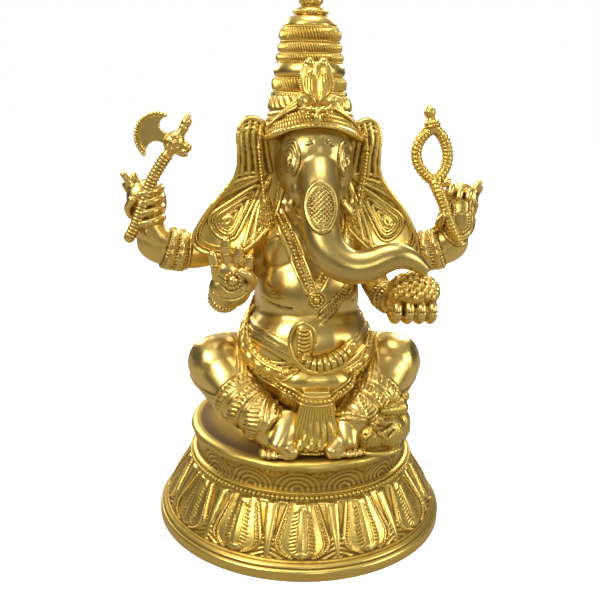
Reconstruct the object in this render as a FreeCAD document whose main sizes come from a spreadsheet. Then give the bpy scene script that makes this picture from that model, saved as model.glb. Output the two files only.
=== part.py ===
"""Brass statue of a seated four-armed elephant-headed deity on a round lotus pedestal.

Millimetres, +Z up, origin at the middle of the foot rim's resting plane, the figure faces -Y.
The statue is a set of brass castings: a hollow pedestal and seat clamped together by one long
stud, and a figure of sections that meet face to face on dowels. Right and left are the deity's
own, so right pieces have negative X.
"""

import FreeCAD, Part
import math
import os

import Sketcher
from FreeCAD import Placement, Rotation, Vector

doc = FreeCAD.newDocument("statue")

# ---------------------------------------------------------------- driving dimensions
SIZES = [
    ("rim_radius", 87, "pedestal: outer radius of the foot rim"),
    ("rim_height", 6, "pedestal: upright face of the foot rim"),
    ("band_rise", 5, "pedestal: height of the plain sloping band above the rim"),
    ("band_inset", 4, "pedestal: how far the plain band runs in"),
    ("skirt_top_radius", 67, "pedestal: radius at the top of the lotus skirt"),
    ("skirt_bulge_radius", 40, "pedestal: radius of the skirt's rounded section"),
    ("pedestal_height", 36, "pedestal: floor to the ledge that carries the seat"),
    ("casting_wall", 4, "wall of the hollow castings"),
    ("ledge_radius", 48, "pedestal: radius of the opening inside the ledge"),
    ("seat_radius", 67, "seat: radius of the lip"),
    ("seat_height", 23, "seat: ledge to the flat top"),
    ("seat_waist", 3, "seat: how far the carved wall stands back from the lip"),
    ("ring_height", 4, "seat: height of the beaded ring at its foot"),
    ("lip_height", 4, "seat: height of the lip"),
    ("seat_plate", 6, "seat: thickness of the top plate"),
    ("stud_radius", 4, "tie stud: M8 thread, plain outside radius"),
    ("stud_clearance", 0.4, "radial clearance round the stud"),
    ("stud_engagement", 24, "tie stud: length screwed into the figure"),
    ("stud_tail", 3, "tie stud: length left below the nut"),
    ("stud_chamfer", 0.8, "tie stud: chamfer at both ends"),
    ("bar_overlap", 8, "clamp bar: how far each end reaches under the ledge"),
    ("bar_width", 18, "clamp bar: width"),
    ("bar_thickness", 4, "clamp bar: thickness"),
    ("washer_radius", 8, "washer: outer radius"),
    ("washer_thickness", 1.6, "washer: thickness"),
    ("nut_flats", 13, "nut: width across flats"),
    ("nut_height", 6.5, "nut: height"),
    ("hip_width", 40, "torso: half width at the hips"),
    ("hip_depth", 36, "torso: half depth at the hips"),
    ("belly_rise", 54, "torso: belly's widest level above the seat"),
    ("belly_width", 39, "torso: half width of the belly"),
    ("belly_depth", 36, "torso: half depth of the belly"),
    ("belly_forward", 8, "torso: how far the belly's middle stands forward"),
    ("waist_rise", 77, "torso: waist level above the seat"),
    ("waist_width", 29, "torso: half width at the waist"),
    ("waist_depth", 26, "torso: half depth at the waist"),
    ("chest_rise", 104, "torso: chest level above the seat"),
    ("chest_width", 37, "torso: half width of the chest"),
    ("chest_depth", 22, "torso: half depth of the chest"),
    ("neck_rise", 134, "torso: level where the head sits, above the seat"),
    ("neck_radius", 15, "torso: radius of the neck"),
    ("thigh_radius", 19, "leg: radius of the thigh"),
    ("knee_reach", 52, "leg: middle of the knee, from the centre line"),
    ("knee_rise", 41, "leg: middle of the knee above the seat"),
    ("knee_forward", 17, "leg: middle of the knee, forward"),
    ("knee_radius", 16, "leg: radius of the knee"),
    ("calf_radius", 13, "leg: radius of the calf"),
    ("ankle_reach", 22, "leg: ankle, from the centre line"),
    ("ankle_forward", 50, "leg: ankle, forward"),
    ("ankle_rise", 10, "leg: ankle above the seat"),
    ("ankle_radius", 8.5, "leg: radius of the ankle"),
    ("foot_length", 17, "leg: foot, from ankle to toes"),
    ("foot_radius", 5, "leg: radius at the toes"),
    ("pleat_top_width", 14, "front pleats: width at the waist"),
    ("pleat_foot_width", 32, "front pleats: width at the seat"),
    ("pleat_rise", 38, "front pleats: height above the seat"),
    ("pleat_forward", 58, "front pleats: front face, forward"),
    ("pleat_depth", 14, "front pleats: thickness"),
    ("belt_stand", 2.2, "belt: how far it stands out of the body"),
    ("belt_height", 7, "belt: height of the band"),
    ("belt_rise", 64, "belt: its middle above the seat"),
    ("belt_tilt", 30, "belt: angle by which it dips at the front"),
    ("serpent_radius", 3.6, "serpent: radius of its body"),
    ("serpent_stand", 2.0, "serpent: how far its middle stands out of the belly"),
    ("serpent_rise", 59, "serpent: middle of its loop above the seat"),
    ("necklace_width", 27, "necklace: half width of its loop"),
    ("necklace_length", 42, "necklace: drop of its loop"),
    ("necklace_cord", 3.2, "necklace: radius of the string of beads"),
    ("necklace_rise", 77, "necklace: lowest point above the seat"),
    ("necklace_low_forward", 31, "necklace: lowest point, forward"),
    ("necklace_high_forward", 13, "necklace: highest point, forward"),
    ("head_forward", 15, "head: its middle, forward of the neck"),
    ("head_width", 27, "head: half width at the temples"),
    ("head_depth", 28, "head: half depth at the temples"),
    ("jaw_width", 20, "head: half width at the jaw"),
    ("jaw_depth", 18, "head: half depth at the jaw"),
    ("head_height", 60, "head: neck to the top of the skull"),
    ("trunk_root_radius", 13, "trunk: radius between the eyes"),
    ("trunk_radius", 10.5, "trunk: radius of the hanging length"),
    ("trunk_bend_radius", 9.5, "trunk: radius at the bend"),
    ("trunk_tip_radius", 3.2, "trunk: radius at the tip"),
    ("trunk_forward", 61, "trunk: middle of the hanging length, forward"),
    ("trunk_drop", 50, "trunk: from the brow down to the bend"),
    ("trunk_reach", 56, "trunk: how far the tip reaches to the left"),
    ("ear_thickness", 4, "ear: thickness of the casting"),
    ("ear_reach", 66, "ear: lowest outer corner, from the centre line"),
    ("ear_root", 22, "ear: edge against the head, from the centre line"),
    ("ear_height", 72, "ear: lowest edge to the upper tip"),
    ("ear_forward", 11, "ear: its front face, forward"),
    ("tusk_radius", 2.6, "tusk: radius at the root"),
    ("tusk_length", 22, "tusk: length of the whole left tusk"),
    ("stub_length", 12, "tusk: length of the broken right tusk"),
    ("crown_foot_radius", 30, "crown: radius of the brow band"),
    ("crown_band_height", 21, "crown: height of the brow band"),
    ("crown_mid_radius", 22, "crown: radius where the tiers start"),
    ("crown_tiers_height", 40, "crown: height of the stacked tiers"),
    ("crown_top_radius", 12.5, "crown: radius of the highest tier"),
    ("tier_groove", 1.2, "crown: depth of the groove between tiers"),
    ("finial_radius", 9, "crown: radius of the finial's foot"),
    ("finial_height", 13.2, "crown: height of the finial"),
    ("crest_width", 17, "crown crest: width"),
    ("crest_height", 28, "crown crest: height"),
    ("crest_thickness", 4, "crown crest: thickness"),
    ("back_shoulder", 34, "rear arms: shoulder, from the centre line"),
    ("back_elbow", 86, "rear arms: elbow, from the centre line"),
    ("back_elbow_rise", 104, "rear arms: elbow above the seat"),
    ("back_wrist_rise", 124, "rear arms: wrist above the seat"),
    ("back_arm_radius", 9.5, "rear arms: radius at the shoulder"),
    ("back_elbow_radius", 8.5, "rear arms: radius at the elbow"),
    ("wrist_radius", 6.2, "arms: radius at the wrist"),
    ("palm_width", 11, "hands: half width of the palm"),
    ("palm_height", 13, "hands: half height of the palm"),
    ("palm_depth", 5.5, "hands: half thickness of the palm"),
    ("finger_spread", 18, "rear hands: how far the fingertips stand out beyond the elbow"),
    ("front_shoulder", 36, "front arms: shoulder, from the centre line"),
    ("front_elbow", 49, "front arms: elbow, from the centre line"),
    ("front_elbow_rise", 84, "front arms: elbow above the seat"),
    ("front_elbow_forward", 20, "front arms: elbow, forward"),
    ("front_arm_radius", 10.5, "front arms: radius of the upper arm"),
    ("front_hand", 47, "front arms: middle of the hand, from the centre line"),
    ("front_hand_forward", 49, "front arms: middle of the hand, forward"),
    ("right_hand_rise", 103, "right front hand: middle above the seat"),
    ("left_hand_rise", 84, "left front hand: middle above the seat"),
    ("axe_handle_radius", 2.6, "axe: radius of the handle"),
    ("axe_length", 72, "axe: length of the handle"),
    ("axe_lean", 27, "axe: lean of the handle towards the head"),
    ("axe_blade_radius", 20, "axe: radius of the cutting edge"),
    ("axe_blade_thickness", 2.4, "axe: thickness of the blade"),
    ("noose_width", 23, "noose: width of the loop, to the middle of the cord"),
    ("noose_height", 32, "noose: height of the loop, to the middle of the cord"),
    ("noose_cord", 2.5, "noose: radius of the cord"),
    ("noose_rise", 160, "noose: middle of the loop above the seat"),
    ("noose_side", 70, "noose: middle of the loop, from the centre line"),
    ("sweets_width", 13, "sweets: half width of the heap"),
    ("sweets_height", 8.5, "sweets: half height of the heap"),
    ("mouse_side", 43, "mouse: middle, from the centre line"),
    ("mouse_forward", 46, "mouse: middle, forward"),
    ("mouse_width", 15, "mouse: half length of the body"),
    ("mouse_height", 26, "mouse: height"),
    ("mouse_depth", 10, "mouse: half thickness of the body"),
    ("dowel_radius", 2, "dowels: radius"),
    ("dowel_length", 16, "dowels: length, half in each piece"),
]

sheet = doc.addObject("Spreadsheet::Sheet", "Sizes")
for row, (alias, value, note) in enumerate(SIZES, 1):
    sheet.set(f"A{row}", note)
    sheet.set(f"B{row}", str(value))
    sheet.setAlias(f"B{row}", alias)
doc.recompute()

SEAT_TOP = "(Sizes.pedestal_height + Sizes.seat_height)"
HEAD_FOOT = f"({SEAT_TOP} + Sizes.neck_rise)"
CROWN_FOOT = f"({HEAD_FOOT} + 0.63 * Sizes.head_height)"
TIERS_FOOT = f"({CROWN_FOOT} + Sizes.crown_band_height)"
FINIAL_FOOT = f"({TIERS_FOOT} + Sizes.crown_tiers_height)"
STUD_HOLE = "(Sizes.stud_radius + Sizes.stud_clearance)"
BAR_TOP = "(Sizes.pedestal_height - Sizes.casting_wall)"
WASHER_TOP = f"({BAR_TOP} - Sizes.bar_thickness)"
NUT_TOP = f"({WASHER_TOP} - Sizes.washer_thickness)"
RIGHT, LEFT = -1, 1


def number(text):
    """The value of an expression on the sheet's cells."""
    return float(sheet.evalExpression(str(text)))


def point(place):
    return Vector(*[number(text) for text in place])


def bind(obj, **expressions):
    """Ties properties of an object to expressions; a double underscore stands for a dot."""
    for name, text in expressions.items():
        obj.setExpression(name.replace("__", "."), str(text))
    return obj


def bind_base(obj, place):
    x, y, z = place
    return bind(obj, Placement__Base__x=x, Placement__Base__y=y, Placement__Base__z=z)


# ---------------------------------------------------------------- sketch-based bodies
def new_body(label):
    body = doc.addObject("PartDesign::Body", label + "_body")
    body.Label = label
    return body


def plane_of(body, role):
    return next(f for f in body.Origin.OriginFeatures if f.Role == role)


def new_sketch(body, name, role):
    sketch = body.newObject("Sketcher::SketchObject", name)
    sketch.AttachmentSupport = [(plane_of(body, role), "")]
    sketch.MapMode = "FlatFace"
    return sketch


def pin_vertex(sketch, edge, corner):
    """Fixes the first end of an edge at a place given by two expressions."""
    for kind, text in zip(("DistanceX", "DistanceY"), corner):
        index = sketch.addConstraint(Sketcher.Constraint(kind, -1, 1, edge, 1, number(text)))
        sketch.setExpression(f"Constraints[{index}]", str(text))


def arc_between(start, end, radius):
    """An arc between two places that bulges to the left of the chord for a positive radius.

    A sketch's arcs always run anticlockwise, so the arc that bulges left starts at the end.
    """
    chord = end - start
    half = chord.Length / 2
    size = max(abs(radius), half * 1.001)
    side = Vector(-chord.y, chord.x, 0).normalize() * (1 if radius > 0 else -1)
    centre = start + chord / 2 - side * math.sqrt(size * size - half * half)
    first, last = (end, start) if radius > 0 else (start, end)
    angles = [math.atan2(place.y - centre.y, place.x - centre.x) for place in (first, last)]
    if angles[1] < angles[0]:
        angles[1] += 2 * math.pi
    return Part.ArcOfCircle(Part.Circle(centre, Vector(0, 0, 1), size), *angles), size


def closed_outline(sketch, corners):
    """Corners are (x, y) or (x, y, radius); the radius bends the edge that leaves the corner."""
    places = [Vector(number(c[0]), number(c[1]), 0) for c in corners]
    count = len(corners)
    ends = []
    for i, corner in enumerate(corners):
        start, end = places[i], places[(i + 1) % count]
        if len(corner) == 3:
            bend = number(corner[2])
            arc, size = arc_between(start, end, bend)
            edge = sketch.addGeometry(arc)
            ends.append((2, 1) if bend > 0 else (1, 2))
            index = sketch.addConstraint(Sketcher.Constraint("Radius", edge, size))
            sketch.setExpression(f"Constraints[{index}]", f"abs({corner[2]})")
        else:
            sketch.addGeometry(Part.LineSegment(start, end))
            ends.append((1, 2))
    for i, corner in enumerate(corners):
        before = (i - 1) % count
        sketch.addConstraint(Sketcher.Constraint("Coincident", before, ends[before][1], i, ends[i][0]))
    for i, corner in enumerate(corners):
        for kind, text in zip(("DistanceX", "DistanceY"), corner[:2]):
            constraint = Sketcher.Constraint(kind, -1, 1, i, ends[i][0], number(text))
            index = sketch.addConstraint(constraint)
            sketch.setExpression(f"Constraints[{index}]", str(text))


def turned(label, corners):
    """A body of revolution about Z from an outline of (radius, height) corners."""
    body = new_body(label)
    sketch = new_sketch(body, label + "_profile", "XZ_Plane")
    closed_outline(sketch, corners)
    turn = body.newObject("PartDesign::Revolution", label + "_turned")
    turn.Profile = sketch
    turn.ReferenceAxis = (sketch, ["V_Axis"])
    turn.Angle = 360
    body.Tip = turn
    return body


def padded_outline(label, role, corners, length, bore=None):
    """A body padded from an outline, with an optional round bore at the sketch's origin."""
    body = new_body(label)
    sketch = new_sketch(body, label + "_outline", role)
    closed_outline(sketch, corners)
    if bore:
        add_circle(sketch, bore)
    pad = body.newObject("PartDesign::Pad", label + "_pad")
    pad.Profile = sketch
    bind(pad, Length=length)
    body.Tip = pad
    return body


def add_circle(sketch, radius):
    edge = sketch.addGeometry(Part.Circle(Vector(), Vector(0, 0, 1), number(radius)))
    sketch.addConstraint(Sketcher.Constraint("Coincident", edge, 3, -1, 1))
    index = sketch.addConstraint(Sketcher.Constraint("Radius", edge, number(radius)))
    sketch.setExpression(f"Constraints[{index}]", str(radius))


def padded_disc(label, radius, length, bore=None):
    body = new_body(label)
    sketch = new_sketch(body, label + "_outline", "XY_Plane")
    add_circle(sketch, radius)
    if bore:
        add_circle(sketch, bore)
    pad = body.newObject("PartDesign::Pad", label + "_pad")
    pad.Profile = sketch
    bind(pad, Length=length)
    body.Tip = pad
    return body


# ---------------------------------------------------------------- primitives and booleans
def ellipsoid(name, place, half_x, half_y, half_z, turn=0, axis=(0, 1, 0)):
    """Radius2 lies along the ellipsoid's own X, Radius3 along Y and Radius1 along Z."""
    shape = doc.addObject("Part::Ellipsoid", name)
    bind(shape, Radius1=half_z, Radius2=half_x, Radius3=half_y)
    shape.Placement.Rotation = Rotation(Vector(*axis), turn)
    return bind_base(shape, place)


def cylinder(name, place, radius, height, direction=(0, 0, 1)):
    shape = doc.addObject("Part::Cylinder", name)
    bind(shape, Radius=radius, Height=height)
    shape.Placement.Rotation = Rotation(Vector(0, 0, 1), Vector(*direction))
    return bind_base(shape, place)


def fused(label, *pieces):
    shape = doc.addObject("Part::MultiFuse", label.replace(" ", "_") + "_fuse")
    shape.Shapes = list(pieces)
    shape.Label = label
    return shape


def fitted(label, piece, *neighbours):
    """The piece with its neighbours' material cut away, so that it seats on them face to face."""
    result = piece
    for neighbour in neighbours:
        cut = doc.addObject("Part::Cut", label + "_fit")
        cut.Base = result
        cut.Tool = neighbour
        result = cut
    piece.Label = label + "_blank"
    result.Label = label
    return result


def limb(label, stations, start_round=False, end_round=False):
    """A solid through circles. Each station is a place and a radius, both as expressions."""
    places = [point(place) for place, radius in stations]
    rings = []
    last = len(stations) - 1
    for i, (place, radius) in enumerate(stations):
        along = (places[min(i + 1, last)] - places[max(i - 1, 0)]).normalize()
        rings.append((place, radius, along))
    if start_round:
        rings = round_end(rings[0], -1)[::-1] + rings
    if end_round:
        rings = rings + round_end(rings[-1], 1)
    sections = []
    facing, turn = Vector(0, 0, 1), Rotation()
    for place, radius, along in rings:
        turn, facing = Rotation(facing, along).multiply(turn), along
        ring = doc.addObject("Part::Circle", f"{label}_ring")
        bind(ring, Radius=radius)
        ring.Placement.Rotation = turn
        sections.append(bind_base(ring, place))
    return lofted(label, sections)


def round_end(ring, way):
    """Two shrinking circles past a limb's last one, which close it as a rounded end."""
    place, radius, along = ring
    caps = []
    for advance, share in ((0.6, 0.8), (0.93, 0.36)):
        step = [f"{text} + ({advance * way * part}) * ({radius})" for text, part in zip(place, along)]
        caps.append((step, f"{share} * ({radius})", along))
    return caps


def stacked(label, levels, grow="0"):
    """A solid through level ellipses. Each level is height, half width, half depth, forward."""
    sections = []
    for height, half_width, half_depth, forward in levels:
        ring = doc.addObject("Part::Ellipse", f"{label}_level")
        wide = f"({half_width} + {grow})"
        deep = f"({half_depth} + {grow})"
        bind(ring, MajorRadius=f"max({wide}; {deep} + 0.01)", MinorRadius=deep)
        sections.append(bind_base(ring, ("0", f"-({forward})", height)))
    return lofted(label, sections)


def lofted(label, sections):
    loft = doc.addObject("Part::Loft", label.replace(" ", "_") + "_loft")
    loft.Sections = sections
    loft.Solid = True
    loft.Ruled = False
    loft.Label = label
    return loft


# ---------------------------------------------------------------- pedestal, seat and tie
def lotus_pedestal():
    """Hollow round foot with a plain rim, a rounded lotus skirt and a ledge for the seat."""
    band_top = "Sizes.rim_height + Sizes.band_rise"
    skirt_foot = "Sizes.rim_radius - Sizes.band_inset"
    inner_foot = f"{skirt_foot} - Sizes.casting_wall"
    return turned("lotus_pedestal", [
        ("Sizes.rim_radius", "0"),
        ("Sizes.rim_radius", "Sizes.rim_height"),
        (skirt_foot, band_top, "-Sizes.skirt_bulge_radius"),
        ("Sizes.skirt_top_radius", "Sizes.pedestal_height"),
        ("Sizes.ledge_radius", "Sizes.pedestal_height"),
        ("Sizes.ledge_radius", BAR_TOP),
        ("Sizes.skirt_top_radius - Sizes.casting_wall", BAR_TOP, "Sizes.skirt_bulge_radius"),
        (inner_foot, "Sizes.rim_height"),
        ("Sizes.rim_radius - Sizes.casting_wall", "0"),
    ])


def seat():
    """Hollow round seat, open below, with a beaded ring at its foot and a rounded lip."""
    foot = "Sizes.pedestal_height"
    wall = "Sizes.seat_radius - Sizes.seat_waist"
    inside = f"{wall} - Sizes.casting_wall"
    lip_foot = f"{SEAT_TOP} - Sizes.lip_height"
    return turned("seat", [
        (inside, foot),
        ("Sizes.seat_radius", foot),
        ("Sizes.seat_radius", f"{foot} + Sizes.ring_height"),
        (wall, f"{foot} + Sizes.ring_height"),
        (wall, f"{lip_foot} - Sizes.seat_waist"),
        ("Sizes.seat_radius", lip_foot),
        ("Sizes.seat_radius", f"{SEAT_TOP} - 0.4 * Sizes.lip_height"),
        ("Sizes.seat_radius - 0.6 * Sizes.lip_height", SEAT_TOP),
        (STUD_HOLE, SEAT_TOP),
        (STUD_HOLE, f"{SEAT_TOP} - Sizes.seat_plate"),
        (inside, f"{SEAT_TOP} - Sizes.seat_plate"),
    ])


def tie_stud():
    """M8 stud, chamfered at both ends, from the figure's foot down through the seat to the nut."""
    foot = f"({NUT_TOP} - Sizes.nut_height - Sizes.stud_tail)"
    head = f"({SEAT_TOP} + Sizes.stud_engagement)"
    return turned("tie_stud", [
        ("0", foot),
        ("Sizes.stud_radius - Sizes.stud_chamfer", foot),
        ("Sizes.stud_radius", f"{foot} + Sizes.stud_chamfer"),
        ("Sizes.stud_radius", f"{head} - Sizes.stud_chamfer"),
        ("Sizes.stud_radius - Sizes.stud_chamfer", head),
        ("0", head),
    ])


def clamp_bar():
    """Flat bar across the underside of the ledge, bored for the stud."""
    half = "(Sizes.ledge_radius + Sizes.bar_overlap)"
    side = "(Sizes.bar_width / 2)"
    corners = [(f"-{half}", f"-{side}"), (half, f"-{side}"), (half, side), (f"-{half}", side)]
    bar = padded_outline("clamp_bar", "XY_Plane", corners, "Sizes.bar_thickness", STUD_HOLE)
    return bind_base(bar, ("0", "0", WASHER_TOP))


def tie_washer():
    washer = padded_disc("tie_washer", "Sizes.washer_radius", "Sizes.washer_thickness", STUD_HOLE)
    return bind_base(washer, ("0", "0", NUT_TOP))


def tie_nut():
    """Hexagon nut on the stud; its thread is modelled as a plain bore of the stud's radius."""
    corner = "(Sizes.nut_flats / sqrt(3))"
    corners = []
    for i in range(6):
        turn = math.radians(60 * i)
        corners.append((f"{corner} * {math.cos(turn):.6f}", f"{corner} * {math.sin(turn):.6f}"))
    nut = padded_outline("tie_nut", "XY_Plane", corners, "Sizes.nut_height", "Sizes.stud_radius")
    return bind_base(nut, ("0", "0", f"{NUT_TOP} - Sizes.nut_height"))


# ---------------------------------------------------------------- body and legs
def torso_levels():
    def above(alias, share=1):
        return f"{SEAT_TOP} + {share} * Sizes.{alias}"

    return [
        (SEAT_TOP, "0.94 * Sizes.hip_width", "0.92 * Sizes.hip_depth", "0"),
        (above("belly_rise", 0.42), "Sizes.hip_width", "Sizes.hip_depth", "0.5 * Sizes.belly_forward"),
        (above("belly_rise"), "Sizes.belly_width", "Sizes.belly_depth", "Sizes.belly_forward"),
        (above("waist_rise"), "Sizes.waist_width", "Sizes.waist_depth", "0.4 * Sizes.belly_forward"),
        (above("chest_rise"), "Sizes.chest_width", "Sizes.chest_depth", "0"),
        (above("neck_rise", 0.9), "0.7 * Sizes.chest_width", "0.8 * Sizes.chest_depth", "0"),
        (above("neck_rise"), "Sizes.neck_radius", "Sizes.neck_radius", "0"),
    ]


def torso(dowels):
    """Pot belly, waist, chest and neck in one casting, tapped from below for the stud."""
    blank = stacked("torso_shape", torso_levels())
    tapping = cylinder("torso_tapping", ("0", "0", SEAT_TOP), "Sizes.stud_radius", "Sizes.stud_engagement")
    return fitted("torso", blank, tapping, *dowels)


def leg(label, side, *neighbours):
    """Thigh out to the raised knee, calf back in to the ankle, and the foot."""
    knee = (f"{side} * Sizes.knee_reach", "-Sizes.knee_forward", f"{SEAT_TOP} + Sizes.knee_rise")
    mid_thigh = (f"{side} * 0.62 * Sizes.knee_reach", "-0.4 * Sizes.knee_forward",
                 f"{SEAT_TOP} + 0.8 * Sizes.knee_rise")
    hip = (f"{side} * 0.3 * Sizes.knee_reach", "0", f"{SEAT_TOP} + 0.58 * Sizes.knee_rise")
    ankle = (f"{side} * Sizes.ankle_reach", "-Sizes.ankle_forward", f"{SEAT_TOP} + Sizes.ankle_rise")
    calf = (f"{side} * (0.45 * Sizes.knee_reach + 0.55 * Sizes.ankle_reach)",
            "-(0.45 * Sizes.knee_forward + 0.55 * Sizes.ankle_forward)",
            f"{SEAT_TOP} + 0.5 * (Sizes.knee_rise + Sizes.ankle_rise)")
    toes = (f"{side} * (Sizes.ankle_reach - 0.62 * Sizes.foot_length)",
            "-(Sizes.ankle_forward + 0.6 * Sizes.foot_length)",
            f"{SEAT_TOP} + 0.9 * Sizes.foot_radius")
    thigh = limb(label + "_thigh", [
        (hip, "Sizes.thigh_radius"),
        (mid_thigh, "Sizes.thigh_radius"),
        (knee, "Sizes.knee_radius"),
    ], end_round=True)
    shin = limb(label + "_shin", [
        (knee, "0.93 * Sizes.knee_radius"),
        (calf, "Sizes.calf_radius"),
        (ankle, "Sizes.ankle_radius"),
        (toes, "Sizes.foot_radius"),
    ], start_round=True, end_round=True)
    return fitted(label, fused(label + "_limb", thigh, shin), *neighbours)


def front_pleats(*neighbours):
    """Fan of cloth that falls from the waist to the seat between the feet."""
    top, foot = "Sizes.pleat_top_width / 2", "Sizes.pleat_foot_width / 2"
    fan = padded_outline("front_pleats_fan", "XZ_Plane", [
        (f"-{foot}", "0"),
        (foot, "0"),
        (top, "Sizes.pleat_rise"),
        (f"-{top}", "Sizes.pleat_rise"),
    ], "Sizes.pleat_depth")
    bind_base(fan, ("2", "Sizes.pleat_depth - Sizes.pleat_forward", SEAT_TOP))
    return fitted("front_pleats", fan, *neighbours)


def waist_belt(*neighbours):
    """Beaded belt that follows the body, high at the back and low at the front."""
    jacket = stacked("belt_jacket", torso_levels(), "Sizes.belt_stand")
    slab = doc.addObject("Part::Cylinder", "belt_slab")
    bind(slab, Radius="3 * Sizes.belly_width", Height="Sizes.belt_height")
    slab.Placement.Rotation = Rotation(Vector(1, 0, 0), number("Sizes.belt_tilt"))
    bind_base(slab, ("0", "0", f"{SEAT_TOP} + Sizes.belt_rise"))
    band = doc.addObject("Part::Common", "belt_band")
    band.Base, band.Tool = jacket, slab
    return fitted("waist_belt", band, *neighbours)


def belly_serpent(*neighbours):
    """Serpent worn as a girdle: it crosses the belly and rears up in a loop near the middle."""
    path = [(330, 15), (312, 9), (294, 2), (278, -2), (265, -3), (255, 3), (254, 11), (262, 15)]
    stations = []
    for turn, lift in path:
        across, forward = math.cos(math.radians(turn)), math.sin(math.radians(turn))
        stations.append(((
            f"(Sizes.belly_width + Sizes.serpent_stand) * {across:.5f}",
            f"(Sizes.belly_depth + Sizes.serpent_stand) * {forward:.5f} - Sizes.belly_forward",
            f"{SEAT_TOP} + Sizes.serpent_rise + {lift}",
        ), "Sizes.serpent_radius"))
    return fitted("belly_serpent", limb("serpent_coil", stations, True, True), *neighbours)


def necklace(*neighbours):
    """Long string of beads that hangs from the shoulders and meets low on the chest."""
    path = [(0.62, 1.0), (0.97, 0.66), (0.92, 0.34), (0.55, 0.09), (0, 0)]
    path = [(-across, up) for across, up in path] + path[-2::-1]
    stations = []
    for across, up in path:
        stations.append(((
            f"Sizes.necklace_width * {across}",
            f"-(Sizes.necklace_low_forward * {1 - up:.2f} + Sizes.necklace_high_forward * {up})",
            f"{SEAT_TOP} + Sizes.necklace_rise + Sizes.necklace_length * {up}",
        ), "Sizes.necklace_cord"))
    return fitted("necklace", limb("necklace_string", stations, True, True), *neighbours)


# ---------------------------------------------------------------- head and crown
def head(*neighbours):
    """Domed elephant head; its crown of the skull is hidden inside the brow band."""
    def level(share, width, depth, forward):
        return (f"{HEAD_FOOT} + {share} * Sizes.head_height", width, depth, forward)

    blank = stacked("head_shape", [
        level(0, "Sizes.neck_radius", "0.98 * Sizes.neck_radius", "0.25 * Sizes.head_forward"),
        level(0.12, "Sizes.jaw_width", "Sizes.jaw_depth", "0.7 * Sizes.head_forward"),
        level(0.42, "Sizes.head_width", "0.95 * Sizes.head_width", "Sizes.head_forward"),
        level(0.66, "Sizes.head_width", "0.95 * Sizes.head_width", "0.85 * Sizes.head_forward"),
        level(0.86, "0.8 * Sizes.crown_mid_radius", "0.8 * Sizes.crown_mid_radius",
              "0.3 * Sizes.head_forward"),
        level(1, "0.45 * Sizes.crown_mid_radius", "0.45 * Sizes.crown_mid_radius", "0"),
    ])
    return fitted("head", blank, *neighbours)


def trunk(*neighbours):
    """Trunk that hangs from the brow, turns to the deity's left and rests its tip on the sweets."""
    brow = f"({HEAD_FOOT} + 0.4 * Sizes.head_height)"
    bend = f"({brow} - Sizes.trunk_drop)"

    def across(share):
        return f"{share} * Sizes.trunk_reach"

    def forward(share):
        return f"-{share} * Sizes.trunk_forward"

    tip = (across(1.0), forward(0.98), f"{bend} - 4")
    tube = limb("trunk_tube", [
        ((across(0.02), forward(0.44), f"{brow} + 4"), "Sizes.trunk_root_radius"),
        ((across(0.02), forward(0.66), f"{brow} - 0.20 * Sizes.trunk_drop"), "1.12 * Sizes.trunk_radius"),
        ((across(0.03), forward(0.79), f"{brow} - 0.52 * Sizes.trunk_drop"), "Sizes.trunk_radius"),
        ((across(0.10), forward(0.93), f"{bend} + 9"), "Sizes.trunk_radius"),
        ((across(0.27), forward(1.0), f"{bend} - 2"), "Sizes.trunk_bend_radius"),
        ((across(0.52), forward(1.0), f"{bend} + 1"), "0.85 * Sizes.trunk_bend_radius"),
        ((across(0.77), forward(1.0), f"{bend} + 4"), "0.66 * Sizes.trunk_bend_radius"),
        (tip, "Sizes.trunk_tip_radius"),
    ])
    end = ellipsoid("trunk_tip", tip, *["1.08 * Sizes.trunk_tip_radius"] * 3)
    return fitted("trunk", fused("trunk_whole", tube, end), *neighbours)


def ear(label, side, *neighbours):
    """Fan-shaped ear: a narrow upper lobe, and a wide lobe that lies over the shoulder."""
    def x(share):
        return f"{side} * (Sizes.ear_root + {share} * (Sizes.ear_reach - Sizes.ear_root))"

    def z(share):
        return f"{share} * Sizes.ear_height"

    bend = -side
    fan = padded_outline(label + "_fan", "XZ_Plane", [
        (x(0.16), z(0.98)),
        (x(0.36), z(1.00), f"{bend * 34}"),
        (x(0.46), z(0.60)),
        (x(0.98), z(0.14), f"{-bend * 26}"),
        (x(0.30), z(0.04)),
        (x(0), z(0.42)),
        (x(0), z(0.86)),
    ], "Sizes.ear_thickness")
    foot = f"{SEAT_TOP} + 0.76 * Sizes.neck_rise"
    bind_base(fan, ("0", "Sizes.ear_thickness - Sizes.ear_forward - 6", foot))
    return fitted(label, fan, *neighbours)


def tusk(label, side, length, *neighbours):
    root = (f"{side} * 0.6 * Sizes.jaw_width", "-(Sizes.head_forward + 0.75 * Sizes.jaw_depth)",
            f"{HEAD_FOOT} + 0.16 * Sizes.head_height")
    spike = doc.addObject("Part::Cone", label + "_spike")
    bind(spike, Radius1="Sizes.tusk_radius", Radius2="0.4 * Sizes.tusk_radius", Height=length)
    spike.Placement.Rotation = Rotation(Vector(0, 0, 1), Vector(side * 0.35, -0.6, -0.72))
    return fitted(label, bind_base(spike, root), *neighbours)


def crown_band(*neighbours):
    """Brow band of the crown, a ring that tapers up and sits on the skull like a cap."""
    return fitted("crown_band", turned("crown_band_ring", [
        ("0", TIERS_FOOT),
        ("0", CROWN_FOOT),
        ("Sizes.crown_foot_radius", CROWN_FOOT),
        ("Sizes.crown_foot_radius + 1", f"{CROWN_FOOT} + 4"),
        ("Sizes.crown_mid_radius", TIERS_FOOT),
    ]), *neighbours)


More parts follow.
